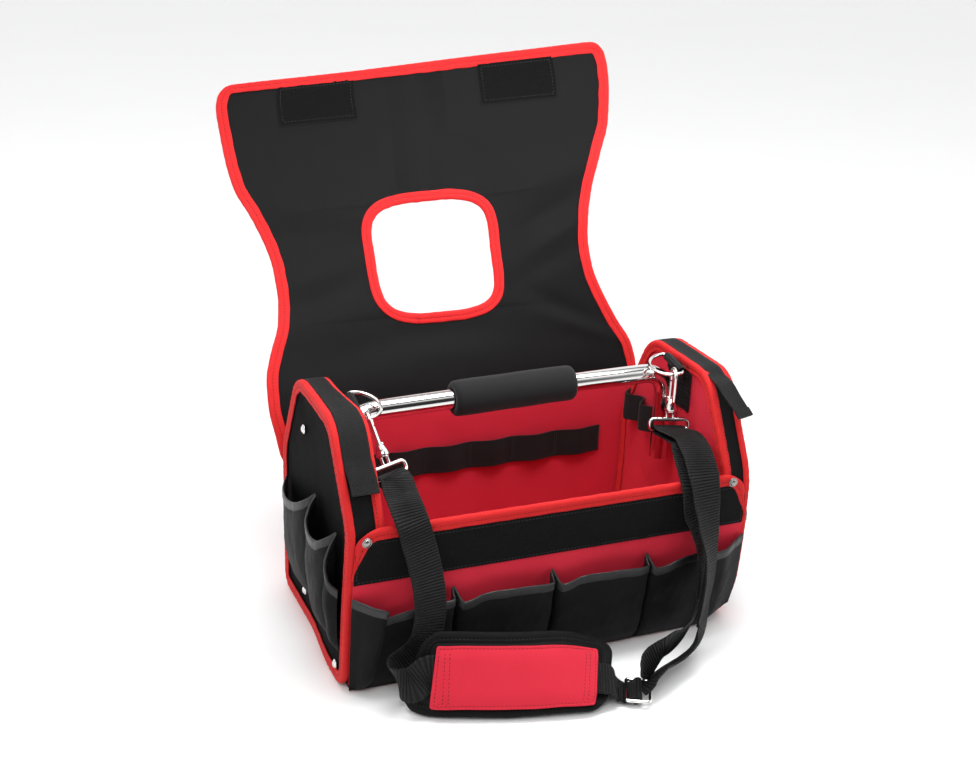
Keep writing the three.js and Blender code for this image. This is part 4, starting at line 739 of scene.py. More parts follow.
def build_end(side, s):
    seed = 11 if s < 0 else 23
    P, A, B = end_frames(s)

    def to3(sign):
        return lambda a, b, h: np.stack([sign * h, a, b], -1)

    def dents(k, amp):
        return lambda a, b, e: k * amp * np.clip(e * 6, 0, 1) * (0.55 + 0.45 * ripple2(a, b, 120, seed)) + 0.25 * np.clip(e * 8, 0, 1) * ripple2(a, b, 34, seed + 1)
    # outer panel in the darker copy of the black cloth, painted shade on the ends
    v, f, u = plate(END_L, END_C, to3(s), OUTER_IN, OUTER_OUT, bulge=dents(-1, 1.5))
    make(f"{side}_outer_cloth", v, f, SHADED_SIDE_CLOTH, [f"{side}_outer_panel"], u)
    v, f, u = plate(END_L, END_C, to3(s), INNER_IN, INNER_OUT, bulge=dents(1, 0.9))
    make(f"{side}_inner_cloth", v, f, RED, [f"{side}_inner_panel"], u)

    # gusset band, drawn in a little between its two seams
    xs = np.linspace(GUSSET_IN, GUSSET_OUT, 9)
    K = len(END_L)
    sagging = np.sin(np.pi * (xs - GUSSET_IN) / (GUSSET_OUT - GUSSET_IN))
    d = -sagging[None] * (0.9 + 0.5 * ripple(END_S, 60, seed + 2))[:, None]
    outer = np.stack([d, np.repeat(xs[None], K, 0)], 2)
    inner = np.stack([d[:, ::-1] - 1.9, np.repeat(xs[None, ::-1], K, 0)], 2)
    v, f, u = sweep(P, A, B, np.concatenate([outer, inner], 1), closed=True)
    make(f"{side}_gusset_cloth", v, f, BLACK, [f"{side}_gusset"], u)

    # outer binding: tape folded over the seam, with a groove where it is sewn
    prof = np.array([(-9.0, 201.8), (-9.3, 202.4), (-8.9, 203.0), (-7.6, 203.35), (-6.0, 203.4), (-5.1, 203.15), (-4.6, 203.0),
                     (-4.1, 203.15), (-3.2, 203.45), (-1.4, 203.6), (0.4, 203.45), (1.7, 202.9), (2.4, 201.9), (2.65, 200.3),
                     (2.6, 198.9), (2.2, 197.6), (1.4, 196.9), (0.5, 196.7), (0.35, 198.5), (0.35, 201.75), (-4.5, 201.8)])
    wob = np.repeat(prof[None], K, 0)
    wob[:, 1:17, 1] += 0.16 * ripple(END_S, 9, seed + 3)[:, None]
    wob[:, 0:5, 0] += 0.28 * ripple(END_S, 26, seed + 4)[:, None]
    wob[:, 9:18, 0] += 0.15 * ripple(END_S, 13, seed + 5)[:, None]
    v, f, u = sweep(P, A, B, wob, closed=True)
    make(f"{side}_outer_tape", v, f, TAPE, [f"{side}_outer_binding"], u)

    # inner binding: the same tape over the inner seam, flattened where a wall covers it
    clear = np.where(END_L[:, 0] < 0, END_L[:, 1] - 146, END_L[:, 1] - (BACK_TOP - 10))
    c = np.clip(clear / 6, 0, 1)
    c = c * c * (3 - 2 * c)
    prof = np.array([(-9.0, 176.55), (-9.3, 176.0), (-8.9, 175.3), (-7.6, 174.95), (-6.0, 174.9), (-5.1, 175.15), (-4.6, 175.3),
                     (-4.1, 175.15), (-3.2, 174.85), (-1.4, 174.7), (0.4, 174.85), (1.7, 175.4), (2.4, 176.4), (2.65, 177.9),
                     (2.6, 180.2), (2.3, 181.6), (1.6, 182.5), (0.5, 182.7), (0.35, 180.2), (0.3, 176.7), (-4.5, 176.55)])
    flat = np.array(prof)
    flat[:, 0] = np.minimum(flat[:, 0], -0.9)
    flat[:, 1] = np.minimum(flat[:, 1], 176.6)
    wob = prof[None] * c[:, None, None] + flat[None] * (1 - c)[:, None, None]
    wob[:, 1:17, 1] += 0.16 * ripple(END_S, 9, seed + 6)[:, None]
    wob[:, 0:5, 0] += 0.28 * ripple(END_S, 26, seed + 7)[:, None]
    v, f, u = sweep(P, A, B, wob, closed=True)
    make(f"{side}_inner_tape", v, f, TAPE, [f"{side}_inner_binding"], u)

    # sewing along both bindings
    Z = np.zeros(len(END_L))
    row = np.stack([Z + s * 203.0, *(END_L - END_O * 4.6).T], 1)
    n1 = np.tile([float(s), 0, 0], (len(row), 1))
    part = [stitches(row, n1, closed=True)]
    up = c > 0.9
    idx = np.nonzero(up)[0]
    # the run over the top is one stretch of the loop
    br = np.nonzero(np.diff(idx) > 1)[0]
    idx = np.r_[idx[br[0] + 1:], idx[:br[0] + 1]] if len(br) else idx
    row = np.stack([Z[idx] + s * 175.3, *(END_L - END_O * 4.6)[idx].T], 1)
    part.append(stitches(row, -n1[idx]))
    rim = np.stack([Z[idx] + s * 181.0, *(END_L + END_O * 2.45)[idx].T], 1)
    part.append(stitches(rim, A[idx]))
    v, f, u = join(*part)
    make(f"{side}_binding_stitches", v, f, THREAD_RED, (), u)


for side, s in (("left", -1), ("right", 1)):
    build_end(side, s)


# --------------------------------------------------------------------------
# Base and walls
# --------------------------------------------------------------------------
def round_rect_loop(hx, z0, z1, r_top, r_bottom, step=3.0):
    pts = []

    def corner(cx, cz, r, a0):
        for k in range(11):
            a = a0 + k / 10 * math.pi / 2
            pts.append((cx + r * math.cos(a), cz + r * math.sin(a)))
    corner(hx - r_bottom, z0 + r_bottom, r_bottom, -math.pi / 2)
    corner(hx - r_top, z1 - r_top, r_top, 0)
    corner(-hx + r_top, z1 - r_top, r_top, math.pi / 2)
    corner(-hx + r_bottom, z0 + r_bottom, r_bottom, math.pi)
    return resample(np.array(pts), step, closed=True)


def build_walls():
    L = round_rect_loop(WALL_X, -WALL_Y + 2, WALL_Y - 2, 6, 6, 4)
    v, f, u = plate(L, np.array([0.0, 0.0]), lambda a, b, h: np.stack([a, b, h], -1), 0, BASE_T,
                    bulge=lambda a, b, e: np.zeros_like(a))
    n = len(v) // 2
    fm = [0 if all(i < n for i in q) else 1 for q in f]
    make("base_board", v, f, [RED, BLACK], ["base_panel"], u, face_mat=fm)

    front = round_rect_loop(WALL_X + 1.6, BASE_T + 0.3, FRONT_TOP, 18, 4)
    v, f, u = plate(front, np.array([0.0, 82.0]), lambda a, b, h: np.stack([a, -h, b], -1), WALL_Y - WALL_T, WALL_Y,
                    bulge=lambda a, b, e: np.clip(e * 6, 0, 1) * (-0.5 + 0.5 * ripple2(a, b, 130, 41) - 0.2 * ripple2(a, b, 40, 42)).clip(-1.4, 0.1))
    make("front_wall", v, f, RED, ["front_panel"], u)
    back = round_rect_loop(WALL_X, BASE_T + 0.3, BACK_TOP, 12, 4)
    v, f, u = plate(back, np.array([0.0, 92.0]), lambda a, b, h: np.stack([a, h, b], -1), WALL_Y - WALL_T, WALL_Y,
                    bulge=lambda a, b, e: np.clip(e * 6, 0, 1) * (0.1 + 0.5 * ripple2(a, b, 110, 43) + 0.2 * ripple2(a, b, 36, 44)).clip(-0.3, 1.0))
    make("back_wall", v, f, RED, ["back_panel"], u)

    # binding over the front wall's top edge, narrowing down its two sides
    path = []
    for k in range(13):
        a = math.pi - k / 12 * math.pi / 2
        path.append((-WALL_X + 22 + 22 * math.cos(a), FRONT_TOP - 21 + 21.4 * math.sin(a)))
    path = [(-WALL_X - 3.0, 116), (-WALL_X - 1.6, 126), (-WALL_X - 0.5, 134)] + path
    path = path + [(-x, z) for x, z in reversed(path)]
    Q = resample(np.array(path), 2.5)
    t = tangents(Q)
    out2 = np.stack([-t[:, 1], t[:, 0]], 1)
    P = np.stack([Q[:, 0], np.full(len(Q), -WALL_Y + WALL_T / 2), Q[:, 1]], 1)
    A = np.stack([out2[:, 0], np.zeros(len(Q)), out2[:, 1]], 1)
    B = np.tile([0.0, -1, 0], (len(Q), 1))
    S = arc(Q)
    h = WALL_T / 2
    prof = np.array([(-8.4, h + 0.15), (-8.6, h + 0.8), (-8.2, h + 1.35), (-6.8, h + 1.6), (-5.4, h + 1.6), (-4.7, h + 1.35), (-4.2, h + 1.2),
                     (-3.7, h + 1.35), (-2.6, h + 1.7), (-0.8, h + 1.7), (0.9, h + 1.2), (1.8, h + 0.2), (2.1, -0.6),
                     (1.8, -h - 0.8), (0.6, -h - 1.5), (-1.6, -h - 1.75), (-4.6, -h - 1.5), (-6.8, -h - 1.6), (-8.2, -h - 1.2), (-8.4, -h - 0.2),
                     (-4, -h - 0.15), (0.3, -h - 0.1), (0.3, h + 0.1), (-4, h + 0.15)])
    wob = np.repeat(prof[None], len(Q), 0)
    wob[:, 1:19, 1] *= 1 + 0.05 * ripple(S, 10, 51)[:, None]
    wob[:, 0:5, 0] += 0.18 * ripple(S, 34, 52)[:, None]
    wob[:, 9:16, 0] += 0.12 * ripple(S, 20, 53)[:, None]
    side = smooth((150 - Q[:, 1]) / 30)
    wob[..., 0] *= (1 - 0.9 * side)[:, None]
    v, f, u = sweep(P, A, B, wob)
    make("front_tape", v, f, TAPE, ["front_binding"], u)
    k = Q[:, 1] > 148
    row = P + A * -4.2 + B * (h + 1.22)
    v, f, u = join(stitches(row[k], B[k]), stitches((P + A * -4.2 - B * (h + 1.5))[k], -B[k]))
    make("front_tape_stitches", v, f, THREAD_RED, (), u)

    # velvety strip along the front, its upper corners cut back round the rivets
    hx, top, low = WALL_X + 1.2, FRONT_TOP - 8.9, 110.5

    def strip_loop(e):
        c = 15.0
        pts = [(-hx + e, low + e), (hx - e, low + e), (hx - e, top - c * 0.75), (hx - c * 0.35, top - c * 0.3), (hx - c, top - e), (-hx + c, top - e), (-hx + c * 0.35, top - c * 0.3), (-hx + e, top - c * 0.75)]
        return resample(np.array(pts), 2.5, closed=True)
    v, f, u = plate(strip_loop(0), np.array([0.0, 130.0]), lambda a, b, h: np.stack([a, -h, b], -1), WALL_Y + 0.15, WALL_Y + 1.2, rings=20,
                    bulge=lambda a, b, e: 0.12 * ripple2(a, b, 26, 61) + 0.05 * ripple2(a, b, 7, 62))
    make("front_pile_strip", v, f, LOOP, ["front_loop_strip"], u)
    L = strip_loop(2.2)
    row = np.stack([L[:, 0], np.full(len(L), -WALL_Y - 1.22), L[:, 1]], 1)
    v, f, u = stitches(row, np.tile([0.0, -1, 0], (len(row), 1)), closed=True, height=0.25)
    make("pile_strip_stitches", v, f, THREAD_BLACK, (), u)


build_walls()


# --------------------------------------------------------------------------
# Pockets
# --------------------------------------------------------------------------
def pocket_points(folds, bottom, spot, step, rows, seed, slant=None):
    a = folds[:, 0]
    sign = 1 if a[-1] > a[0] else -1
    q = np.arange(a[0], a[-1] + sign * step * 0.5, sign * step)
    q = np.unique(np.r_[q, a])[::sign]
    out, top = pchip(a[::sign], folds[::sign, 1], q[::sign])[::sign], pchip(a[::sign], folds[::sign, 2], q[::sign])[::sign]
    sl = np.zeros(len(q)) if slant is None else pchip(a[::sign], slant[::sign], q[::sign])[::sign]
    h = np.linspace(0, 1, rows)
    share = pchip(SWELL[:, 0], SWELL[:, 1], h)
    O = np.maximum(0.9, out[None] * share[:, None])
    free = np.clip((out - 4) / 8, 0, 1)[None] * np.sin(np.pi * np.clip(h, 0.02, 0.98))[:, None] ** 0.5
    O = O + free * (0.55 * ripple2(q[None] + 0 * h[:, None], 90 * h[:, None] + 0 * q[None], 44, seed) + 0.22 * ripple2(q[None] + 0 * h[:, None], 90 * h[:, None] + 0 * q[None], 15, seed + 1))
    O = np.maximum(O, 0.9)
    X = q[None] - sl[None] * (1 - h)[:, None]
    Z = bottom + (top[None] - bottom) * h[:, None]
    return spot(X, O, Z), q


def edge_tape(P, N, width, name, seed, nodes, wall_dir):
    """Coated tape folded over a pocket's open edge; P and N are the cloth's last rows."""
    top = P[-1]
    down = unit(P[-3] - P[-1])
    t = tangents(top)
    n = unit(np.cross(t, down))
    n = np.where(np.sum(n * N[-1], 1, keepdims=True) < 0, -n, n)
    S = arc(top)
    prof = np.array([(width, 0.95), (width - 0.3, 1.35), (width * 0.75, 1.5), (width * 0.5, 1.42), (width * 0.25, 1.5), (0.6, 1.45), (-0.55, 0.95), (-0.95, 0.2),
                     (-0.55, -0.6), (0.6, -1.05), (width * 0.4, -1.1), (width * 0.8, -1.0), (width * 0.8, -0.62), (0.5, -0.6), (0.3, 0.2), (0.5, 0.92)])
    wob = np.repeat(prof[None], len(top), 0)
    wob[:, 0:3, 0] += 0.3 * ripple(S, 24, seed)[:, None]
    wob[:, 2:7, 1] += 0.12 * ripple(S, 12, seed + 1)[:, None]
    v, f, u = sweep(top, down, n, wob)
    o = make(name, v, f, EDGE, nodes, u)
    row = top + down * (width - 1.6) + n * 1.42
    return o, stitches(row, n, pitch=3.2, length=2.2, width=0.5, height=0.3)


def build_pockets():
    bottom = BASE_T + 0.8
    folds = FRONT_FOLDS * np.array([198.0 / 195.0, 1, 1, 1])
    P, q = pocket_points(folds, bottom, lambda x, o, z: np.stack([x, -WALL_Y - o, z], -1), 2.0, 22, 71, FRONT_FOLDS[:, 3])
    N = grid_normals(P)
    if N[10, 10, 1] > 0:
        N = -N
    v, f, u = shell(P, N, -0.5, 0.9)
    o = make("front_pocket_cloth", v, f, BLACK, ["front_pockets"], u)
    width = arc(P[-1])[-1]
    _, st = edge_tape(P, N, 7.4, "front_pocket_tape", 73, ["front_pocket_edge"], None)
    v, f, u = st
    make("front_pocket_stitches", v, f, THREAD_BLACK, (), u)
    for side, s in (("left", -1), ("right", 1)):
        P, q = pocket_points(END_FOLDS, END_POCKET_BOTTOM, lambda y, o, z: np.stack([s * (OUTER_OUT + o), y, z], -1), 2.0, 20, 81 + s)
        N = grid_normals(P)
        N = N * np.sign(s * N[8:9, 8:9, 0:1])
        v, f, u = shell(P, N, -0.5, 0.9)
        o = make(f"{side}_pocket_cloth", v, f, BLACK, [f"{side}_pockets"], u)
        width = arc(P[-1])[-1]
        _, st = edge_tape(P, N, 8.0, f"{side}_pocket_tape", 83 + s, (), None)
        v, f, u = st
        make(f"{side}_pocket_stitches", v, f, THREAD_BLACK, (), u)


build_pockets()


# --------------------------------------------------------------------------
# Lid flap
# --------------------------------------------------------------------------
# Soft folds: place across (share), place along v, reach both ways, turn, height.
FLAP_DENTS = [
    (0.14, 214, 0.22, 16, -10, -3.2), (0.16, 182, 0.18, 15, -6, 2.2), (0.90, 222, 0.20, 15, 16, -2.6),
    (0.87, 186, 0.10, 9, 24, 2.2), (0.90, 160, 0.12, 9, 24, -2.0), (0.86, 130, 0.14, 10, 20, 1.8),
    (0.14, 118, 0.16, 12, 18, 2.4), (0.12, 140, 0.14, 10, 14, -2.0), (0.18, 92, 0.2, 14, 12, -1.8),
    (0.30, 62, 0.24, 16, 8, 2.2), (0.86, 82, 0.10, 12, -34, 3.0), (0.90, 58, 0.12, 10, -30, -2.4),
    (0.55, 66, 0.25, 16, -4, 1.4), (0.5, 252, 0.4, 26, 4, 1.8), (0.22, 280, 0.2, 22, -8, 1.2), (0.75, 290, 0.2, 24, 10, -1.4),
]


class Flap:
    def __init__(self):
        q = FLAP_SECTIONS
        self.v = np.unique(np.r_[np.linspace(-56, 357, 105), np.linspace(348, 357, 9), np.linspace(-56, -46, 7)])
        mid = np.r_[q[0, 0], (q[1:, 0] + q[:-1, 0]) / 2, q[-1, 0]]
        lean = [np.radians(pchip(mid, np.r_[q[0, k], q[1:, k], q[-1, k]], self.v)) for k in (3, 4)]
        self.edge = []
        for k, a in zip((1, 2), lean):
            dv = np.diff(self.v)
            am = (a[1:] + a[:-1]) / 2
            y = FLAP_Y + np.r_[0, np.cumsum(dv * np.sin(am))]
            z = BACK_TOP - 56 + np.r_[0, np.cumsum(dv * np.cos(am))]
            self.edge.append(np.stack([self.round_edge(q[:, 0], q[:, k], self.v), y, z], 1))

    @staticmethod
    def round_edge(v, x, q):
        return pchip(v, x, q)

    def point(self, v, t, folds=True):
        v, t = np.broadcast_arrays(np.asarray(v, float), np.asarray(t, float))
        L = np.stack([np.interp(v, self.v, self.edge[0][:, k]) for k in range(3)], -1)
        R = np.stack([np.interp(v, self.v, self.edge[1][:, k]) for k in range(3)], -1)
        p = L * (1 - t[..., None]) + R * t[..., None]
        p[..., 1] += np.where(v < 20, 0, 5 * np.sin(np.pi * t) * np.clip((v - 20) / 150, 0, 1))
        p[..., 2] += 5.5 * np.clip((t - 0.35) / 0.65, 0, 1) * np.clip((v - 180) / 177, 0, 1)
        if folds:
            d = 0.0
            wide = 360.0
            for c, cv, su, sv, turn, h in FLAP_DENTS:
                a = math.radians(turn)
                du, dv = (t - c) * wide, v - cv
                x, y = du * math.cos(a) + dv * math.sin(a), -du * math.sin(a) + dv * math.cos(a)
                d = d + h * np.exp(-(x / (su * wide)) ** 2 - (y / sv) ** 2)
            d = d + 0.35 * ripple2(t * wide, v, 70, 91)
            d = d * np.clip((v - 5) / 40, 0, 1)
            p[..., 1] += d * 0.85
            p[..., 2] -= d * 0.45
        return p

    def window(self, v):
        """Edges of the window's columns at v, as shares of the width."""
        mid, half = (WINDOW["v0"] + WINDOW["v1"]) / 2, (WINDOW["v1"] - WINDOW["v0"]) / 2
        y = np.clip(np.abs(v - mid) / half, 0, 0.99)
        w = (1 - y ** 4.2) ** (1 / 3.3)
        tc = np.interp(v, [WINDOW["v0"], WINDOW["v1"]], [0.489, 0.503])
        return tc - 0.190 * w, tc + 0.195 * w


def binding_u(P, inward, N, half, width, closed, seed, name, reach=1.5, lift=1.35, nodes=(), mat=TAPE, pucker=0.1):
    """Tape folded over a cloth edge: P the edge, inward along the cloth, N its normal."""
    S = arc(P)
    h = half
    prof = np.array([(width, h + 0.1), (width + 0.2, h + lift * 0.55), (width - 0.3, h + lift * 0.9), (width * 0.8, h + lift), (width * 0.62, h + lift * 0.98), (width * 0.52, h + lift * 0.8),
                     (width * 0.46, h + lift * 0.7), (width * 0.40, h + lift * 0.8), (width * 0.30, h + lift), (width * 0.12, h + lift * 1.02), (-0.5, h + lift * 0.75), (-reach * 0.85, h * 0.6), (-reach, 0),
                     (-reach * 0.85, -h * 0.6), (-0.5, -h - lift * 0.75), (width * 0.12, -h - lift * 1.02), (width * 0.46, -h - lift * 0.75), (width * 0.8, -h - lift), (width - 0.3, -h - lift * 0.9), (width, -h - 0.1),
                     (width * 0.4, -h - 0.1), (0.3, -h - 0.1), (0.3, h + 0.1), (width * 0.4, h + 0.1)])
    wob = np.repeat(prof[None], len(P), 0)
    wob[:, 1:19, 1] *= 1 + 0.05 * ripple(S, 9, seed)[:, None]
    wob[:, 0:4, 0] += 0.2 * ripple(S, 30, seed + 1)[:, None]
    wob[:, 10:15, 0] += pucker * ripple(S, 11, seed + 2)[:, None]
    v, f, u = sweep(P, inward, N, wob, closed=closed)
    make(name, v, f, mat, nodes, u, rigid=True)
    a = stitches(P + inward * width * 0.46 + N * (h + lift * 0.72), N, closed=closed)
    b = stitches(P + inward * width * 0.46 - N * (h + lift * 0.75), -N, closed=closed)
    return join(a, b)


def build_flap():
    F = Flap()
    # rows thicken round the window's corners
    a, b = WINDOW["v0"], WINDOW["v1"]
    v = np.unique(np.round(np.r_[np.linspace(-56, a, 38), a + 40 * (1 - np.cos(np.linspace(0, np.pi / 2, 18))), np.linspace(a + 40, b - 40, 12),
                                 b - 40 * (1 - np.cos(np.linspace(0, np.pi / 2, 18))), np.linspace(b, 348, 34), np.linspace(348, 357, 7)], 3))
    w0, w1 = F.window(v)
    nl, nw = 22, 26
    cols = []
    left = np.linspace(0, 1, nl + 1)[:-1]
    right = np.linspace(0, 1, nl + 1)[1:]
    T = np.concatenate([w0[:, None] * left[None], w0[:, None] + (w1 - w0)[:, None] * np.linspace(0, 1, nw + 1)[None], w1[:, None] + (1 - w1)[:, None] * right[None]], 1)
    P = F.point(v[:, None], T)
    # rounded corners: the first and last columns already carry the outline
    N = grid_normals(P)
    if N[40, 10, 1] > 0:
        N = -N
    keep = np.ones((len(v) - 1, T.shape[1] - 1), bool)
    i0, i1 = np.searchsorted(v, WINDOW["v0"] - 1e-6), np.searchsorted(v, WINDOW["v1"] - 1e-6)
    keep[i0:i1, nl:nl + nw] = False
    flat = np.stack([T * 0 + (F.edge[0][:, 0].min() + T * 0), v[:, None] + 0 * T], 2)
    V, f, u = shell(P, N, -FLAP_T / 2, FLAP_T / 2, keep)
    o = make("flap_cloth", V, f, BLACK, ["flap"], u, rigid=True)

    # outline loop of the flap: sewn edge, right side, free edge, left side
    R, C = P.shape[:2]
    rim = [(0, j) for j in range(C)] + [(i, C - 1) for i in range(1, R)] + [(R - 1, j) for j in range(C - 2, -1, -1)] + [(i, 0) for i in range(R - 2, 0, -1)]

    def loop_of(cells, inside):
        ii, jj = np.array([c[0] for c in cells]), np.array([c[1] for c in cells])
        p, n = P[ii, jj], N[ii, jj]
        q = resample(np.hstack([p, n]), 2.4, closed=True)
        # soften the corners a little
        for _ in range(6):
            q = 0.5 * q + 0.25 * (np.roll(q, 1, 0) + np.roll(q, -1, 0))
        p, n = q[:, :3], unit(q[:, 3:])
        t = tangents(p, True)
        inw = unit(np.cross(n, t))
        c = p.mean(0)
        toward = np.sign(np.mean(np.sum((c - p) * inw, 1)))
        inw = inw * (toward if inside else -toward)
        return p, inw, unit(np.cross(t, inw)) * np.sign(np.sum(np.cross(t, inw) * n, 1, keepdims=True))
    p, inw, n = loop_of(rim, True)
    st = binding_u(p - inw * 0.6, inw, n, FLAP_T / 2, 10.0, True, 101, "flap_tape", nodes=["flap_binding"])
    hole = [(i0, j) for j in range(nl, nl + nw + 1)] + [(i, nl + nw) for i in range(i0 + 1, i1 + 1)] + [(i1, j) for j in range(nl + nw - 1, nl - 1, -1)] + [(i, nl) for i in range(i1 - 1, i0, -1)]
    p, inw, n = loop_of(hole, False)
    st2 = binding_u(p - inw * 0.6, inw, n, FLAP_T / 2, 8.6, True, 111, "window_tape", reach=2.2, nodes=["window_binding"], pucker=0.12)
    v_, f_, u_ = join(st, st2)
    make("flap_tape_stitches", v_, f_, THREAD_RED, (), u_, rigid=True)

    # pile patches near the free edge
    rows = []
    for name, t0, t1, v0, v1 in FLAP_PATCHES:
        vv, tt = np.linspace(v0, v1, 14), np.linspace(t0, t1, 26)
        G = F.point(vv[:, None], tt[None] + 0 * vv[:, None])
        M = grid_normals(G)
        if M[5, 5, 1] > 0:
            M = -M
        V, f, u = shell(G, M, FLAP_T / 2 + 0.05, FLAP_T / 2 + 1.3 + 0.12 * ripple2(tt[None] * 360 + 0 * vv[:, None], vv[:, None] + 0 * tt[None], 9, 121))
        make(name + "_pile", V, f, LOOP, [name], u, rigid=True)
        ring = np.concatenate([G[1, 1:-1], G[1:-1, -2], G[-2, -2:0:-1], G[-2:0:-1, 1]])
        nr = np.concatenate([M[1, 1:-1], M[1:-1, -2], M[-2, -2:0:-1], M[-2:0:-1, 1]])
        rows.append(stitches(ring + nr * (FLAP_T / 2 + 1.3), nr, height=0.3))
        edge = G[0] + M[0] * (FLAP_T / 2 + 0.7)
        rows.append(stitches(edge, M[0], pitch=2.2, length=2.4, width=0.7, height=0.4))
    v_, f_, u_ = join(*rows)
    make("flap_patch_stitches", v_, f_, THREAD_BLACK, (), u_, rigid=True)
    # seam that holds the flap to the back wall
    vv = np.full(140, -49.0)
    tt = np.linspace(0.04, 0.96, 140)
    G = F.point(vv, tt)
    row = G + np.array([0, FLAP_T / 2 + 0.1, 0])
    v_, f_, u_ = join(stitches(row, np.tile([0.0, 1, 0], (140, 1))), stitches(row + np.array([0, 0, 12.0]), np.tile([0.0, 1, 0], (140, 1))))
    make("flap_seam_stitches", v_, f_, THREAD_BLACK, (), u_, rigid=True)


build_flap()


# --------------------------------------------------------------------------
# Handle
# --------------------------------------------------------------------------
def hang(v):
    v = np.array(v, float)
    v[:, 2] -= 4.2 * np.clip((40 - v[:, 0]) / 190, 0, 1)
    return v


def build_handle():
    k, x = TUBE_BEND, TUBE_LEG_X
    pts = [np.array([-x, 0, TUBE_LEG_Z + (TUBE_Z - k - TUBE_LEG_Z) * f]) for f in np.linspace(0, 1, 8)]

    def bend(a, b, c):
        return [(1 - f) ** 2 * a + 2 * f * (1 - f) * b + f * f * c for f in np.linspace(0, 1, 15)[1:]]
    a, b, c = np.array([-x, 0, TUBE_Z - k]), np.array([-x, 0, TUBE_Z]), np.array([-x + k, 0, TUBE_Z])
    pts += bend(a, b, c)
    pts += [np.array([-x + k + (2 * x - 2 * k) * f, 0, TUBE_Z]) for f in np.linspace(0, 1, 24)[1:]]
    a, b, c = np.array([x - k, 0, TUBE_Z]), np.array([x, 0, TUBE_Z]), np.array([x, 0, TUBE_Z - k])
    pts += bend(a, b, c)
    pts += [np.array([x, 0, TUBE_Z - k + (TUBE_LEG_Z - TUBE_Z + k) * f]) for f in np.linspace(0, 1, 8)[1:]]
    P = np.array(pts)
    t = tangents(P)
    A = np.tile([0.0, 1, 0], (len(P), 1))
    B = unit(np.cross(A, t))
    ang = np.linspace(0, 2 * np.pi, 40, endpoint=False)
    flat = 0 * P[:, 2]
    rad = np.stack([TUBE_R * (1 + 0.18 * flat)[:, None] * np.cos(ang)[None], TUBE_R * (1 - 0.62 * flat)[:, None] * np.sin(ang)[None]], 2)
    v, f, u = sweep(P, A, B, rad)
    v = hang(v)
    make("handle_bar", v, f, CHROME, ["handle_tube"], u, sharp=50, rigid=True)
    h = GRIP_LEN / 2
    R = GRIP_R
    prof = [(TUBE_R + 0.3, -h + 1.5), (TUBE_R + 1.2, -h + 0.1), (R - 4.2, -h), (R - 2.0, -h + 0.7), (R - 0.7, -h + 2.2), (R - 0.15, -h + 4.5), (R, -h + 9)]
    prof += [(R + 0.12 * math.sin(z * 0.11), z) for z in np.linspace(-h + 14, h - 14, 24)]
    prof += [(a, -b) for a, b in reversed(prof[:7])]
    part = lathe(np.array(prof), 64)
    part = (part[0], part[1], np.stack([np.arctan2(part[0][:, 1], part[0][:, 0]) * R, part[0][:, 2]], 1))
    v, f, u = place(part, (-1.5, 0, TUBE_Z), (0, 0, -1), (0, 1, 0), (1, 0, 0))
    v = hang(v)
    o = make("handle_foam", v, f, FOAM, ["handle_grip"], u, sharp=60, rigid=True)


build_handle()


# --------------------------------------------------------------------------
# D rings, tabs and clip hooks
# --------------------------------------------------------------------------
def tube(P, r, closed=False, n=14, up=None):
    """A round wire along P; r may change along it."""
    t = tangents(P, closed)
    ref = np.tile(np.asarray(up if up is not None else (0.31, 0.2, 0.93), float), (len(P), 1))
    A = unit(np.cross(t, ref))
    B = np.cross(t, A)
    a = np.linspace(0, 2 * np.pi, n, endpoint=False)
    r = np.broadcast_to(np.asarray(r, float), (len(P),))
    prof = np.stack([r[:, None] * np.cos(a)[None], r[:, None] * np.sin(a)[None]], 2)
    return sweep(P, A, B, prof, closed=closed)


def webbing(rail, width, thick, name, nodes, seed, rib=2.8, depth=0.36, mat=None, rigid=True):
    """Ribbed webbing along a rail: ribs across it, a firmer selvedge along both edges."""
    u, S = rail.even(rib / 4)
    P, W, n, t = rail.at(u)
    h, w = thick / 2, width / 2
    ribs = depth * np.cos(S * 2 * np.pi / rib)
    teeth = 0.6 * depth * np.cos(S * 2 * np.pi / rib)
    prof = np.array([(-w, -h * 0.3), (-w + 0.5, -h * 0.95), (-w + 2.2, -h * 1.05), (-w + 2.9, -h * 0.85), (0, -h * 0.9), (w - 2.9, -h * 0.85), (w - 2.2, -h * 1.05), (w - 0.5, -h * 0.95), (w, -h * 0.3),
                     (w, h * 0.3), (w - 0.5, h * 0.95), (w - 2.2, h * 1.05), (w - 2.9, h * 0.85), (0, h * 0.9), (-w + 2.9, h * 0.85), (-w + 2.2, h * 1.05), (-w + 0.5, h * 0.95), (-w, h * 0.3)])
    wob = np.repeat(prof[None], len(P), 0)
    wob[:, 3:6, 1] -= ribs[:, None]
    wob[:, 12:15, 1] += ribs[:, None]
    wob[:, [8, 9], 0] += teeth[:, None] + 0.18 * ripple(S, 40, seed)[:, None]
    wob[:, [0, 17], 0] -= teeth[:, None] + 0.18 * ripple(S, 40, seed + 1)[:, None]
    cup = 0.25 * ripple(S, 90, seed + 2)
    wob[..., 1] += cup[:, None] * ((wob[..., 0] / w) ** 2 - 0.4)
    v, f, uv = sweep(P, W, n, wob)
    o = make(name, v, f, mat or WEB, nodes, uv, rigid=rigid)
    return o


CLIP_AT = {}


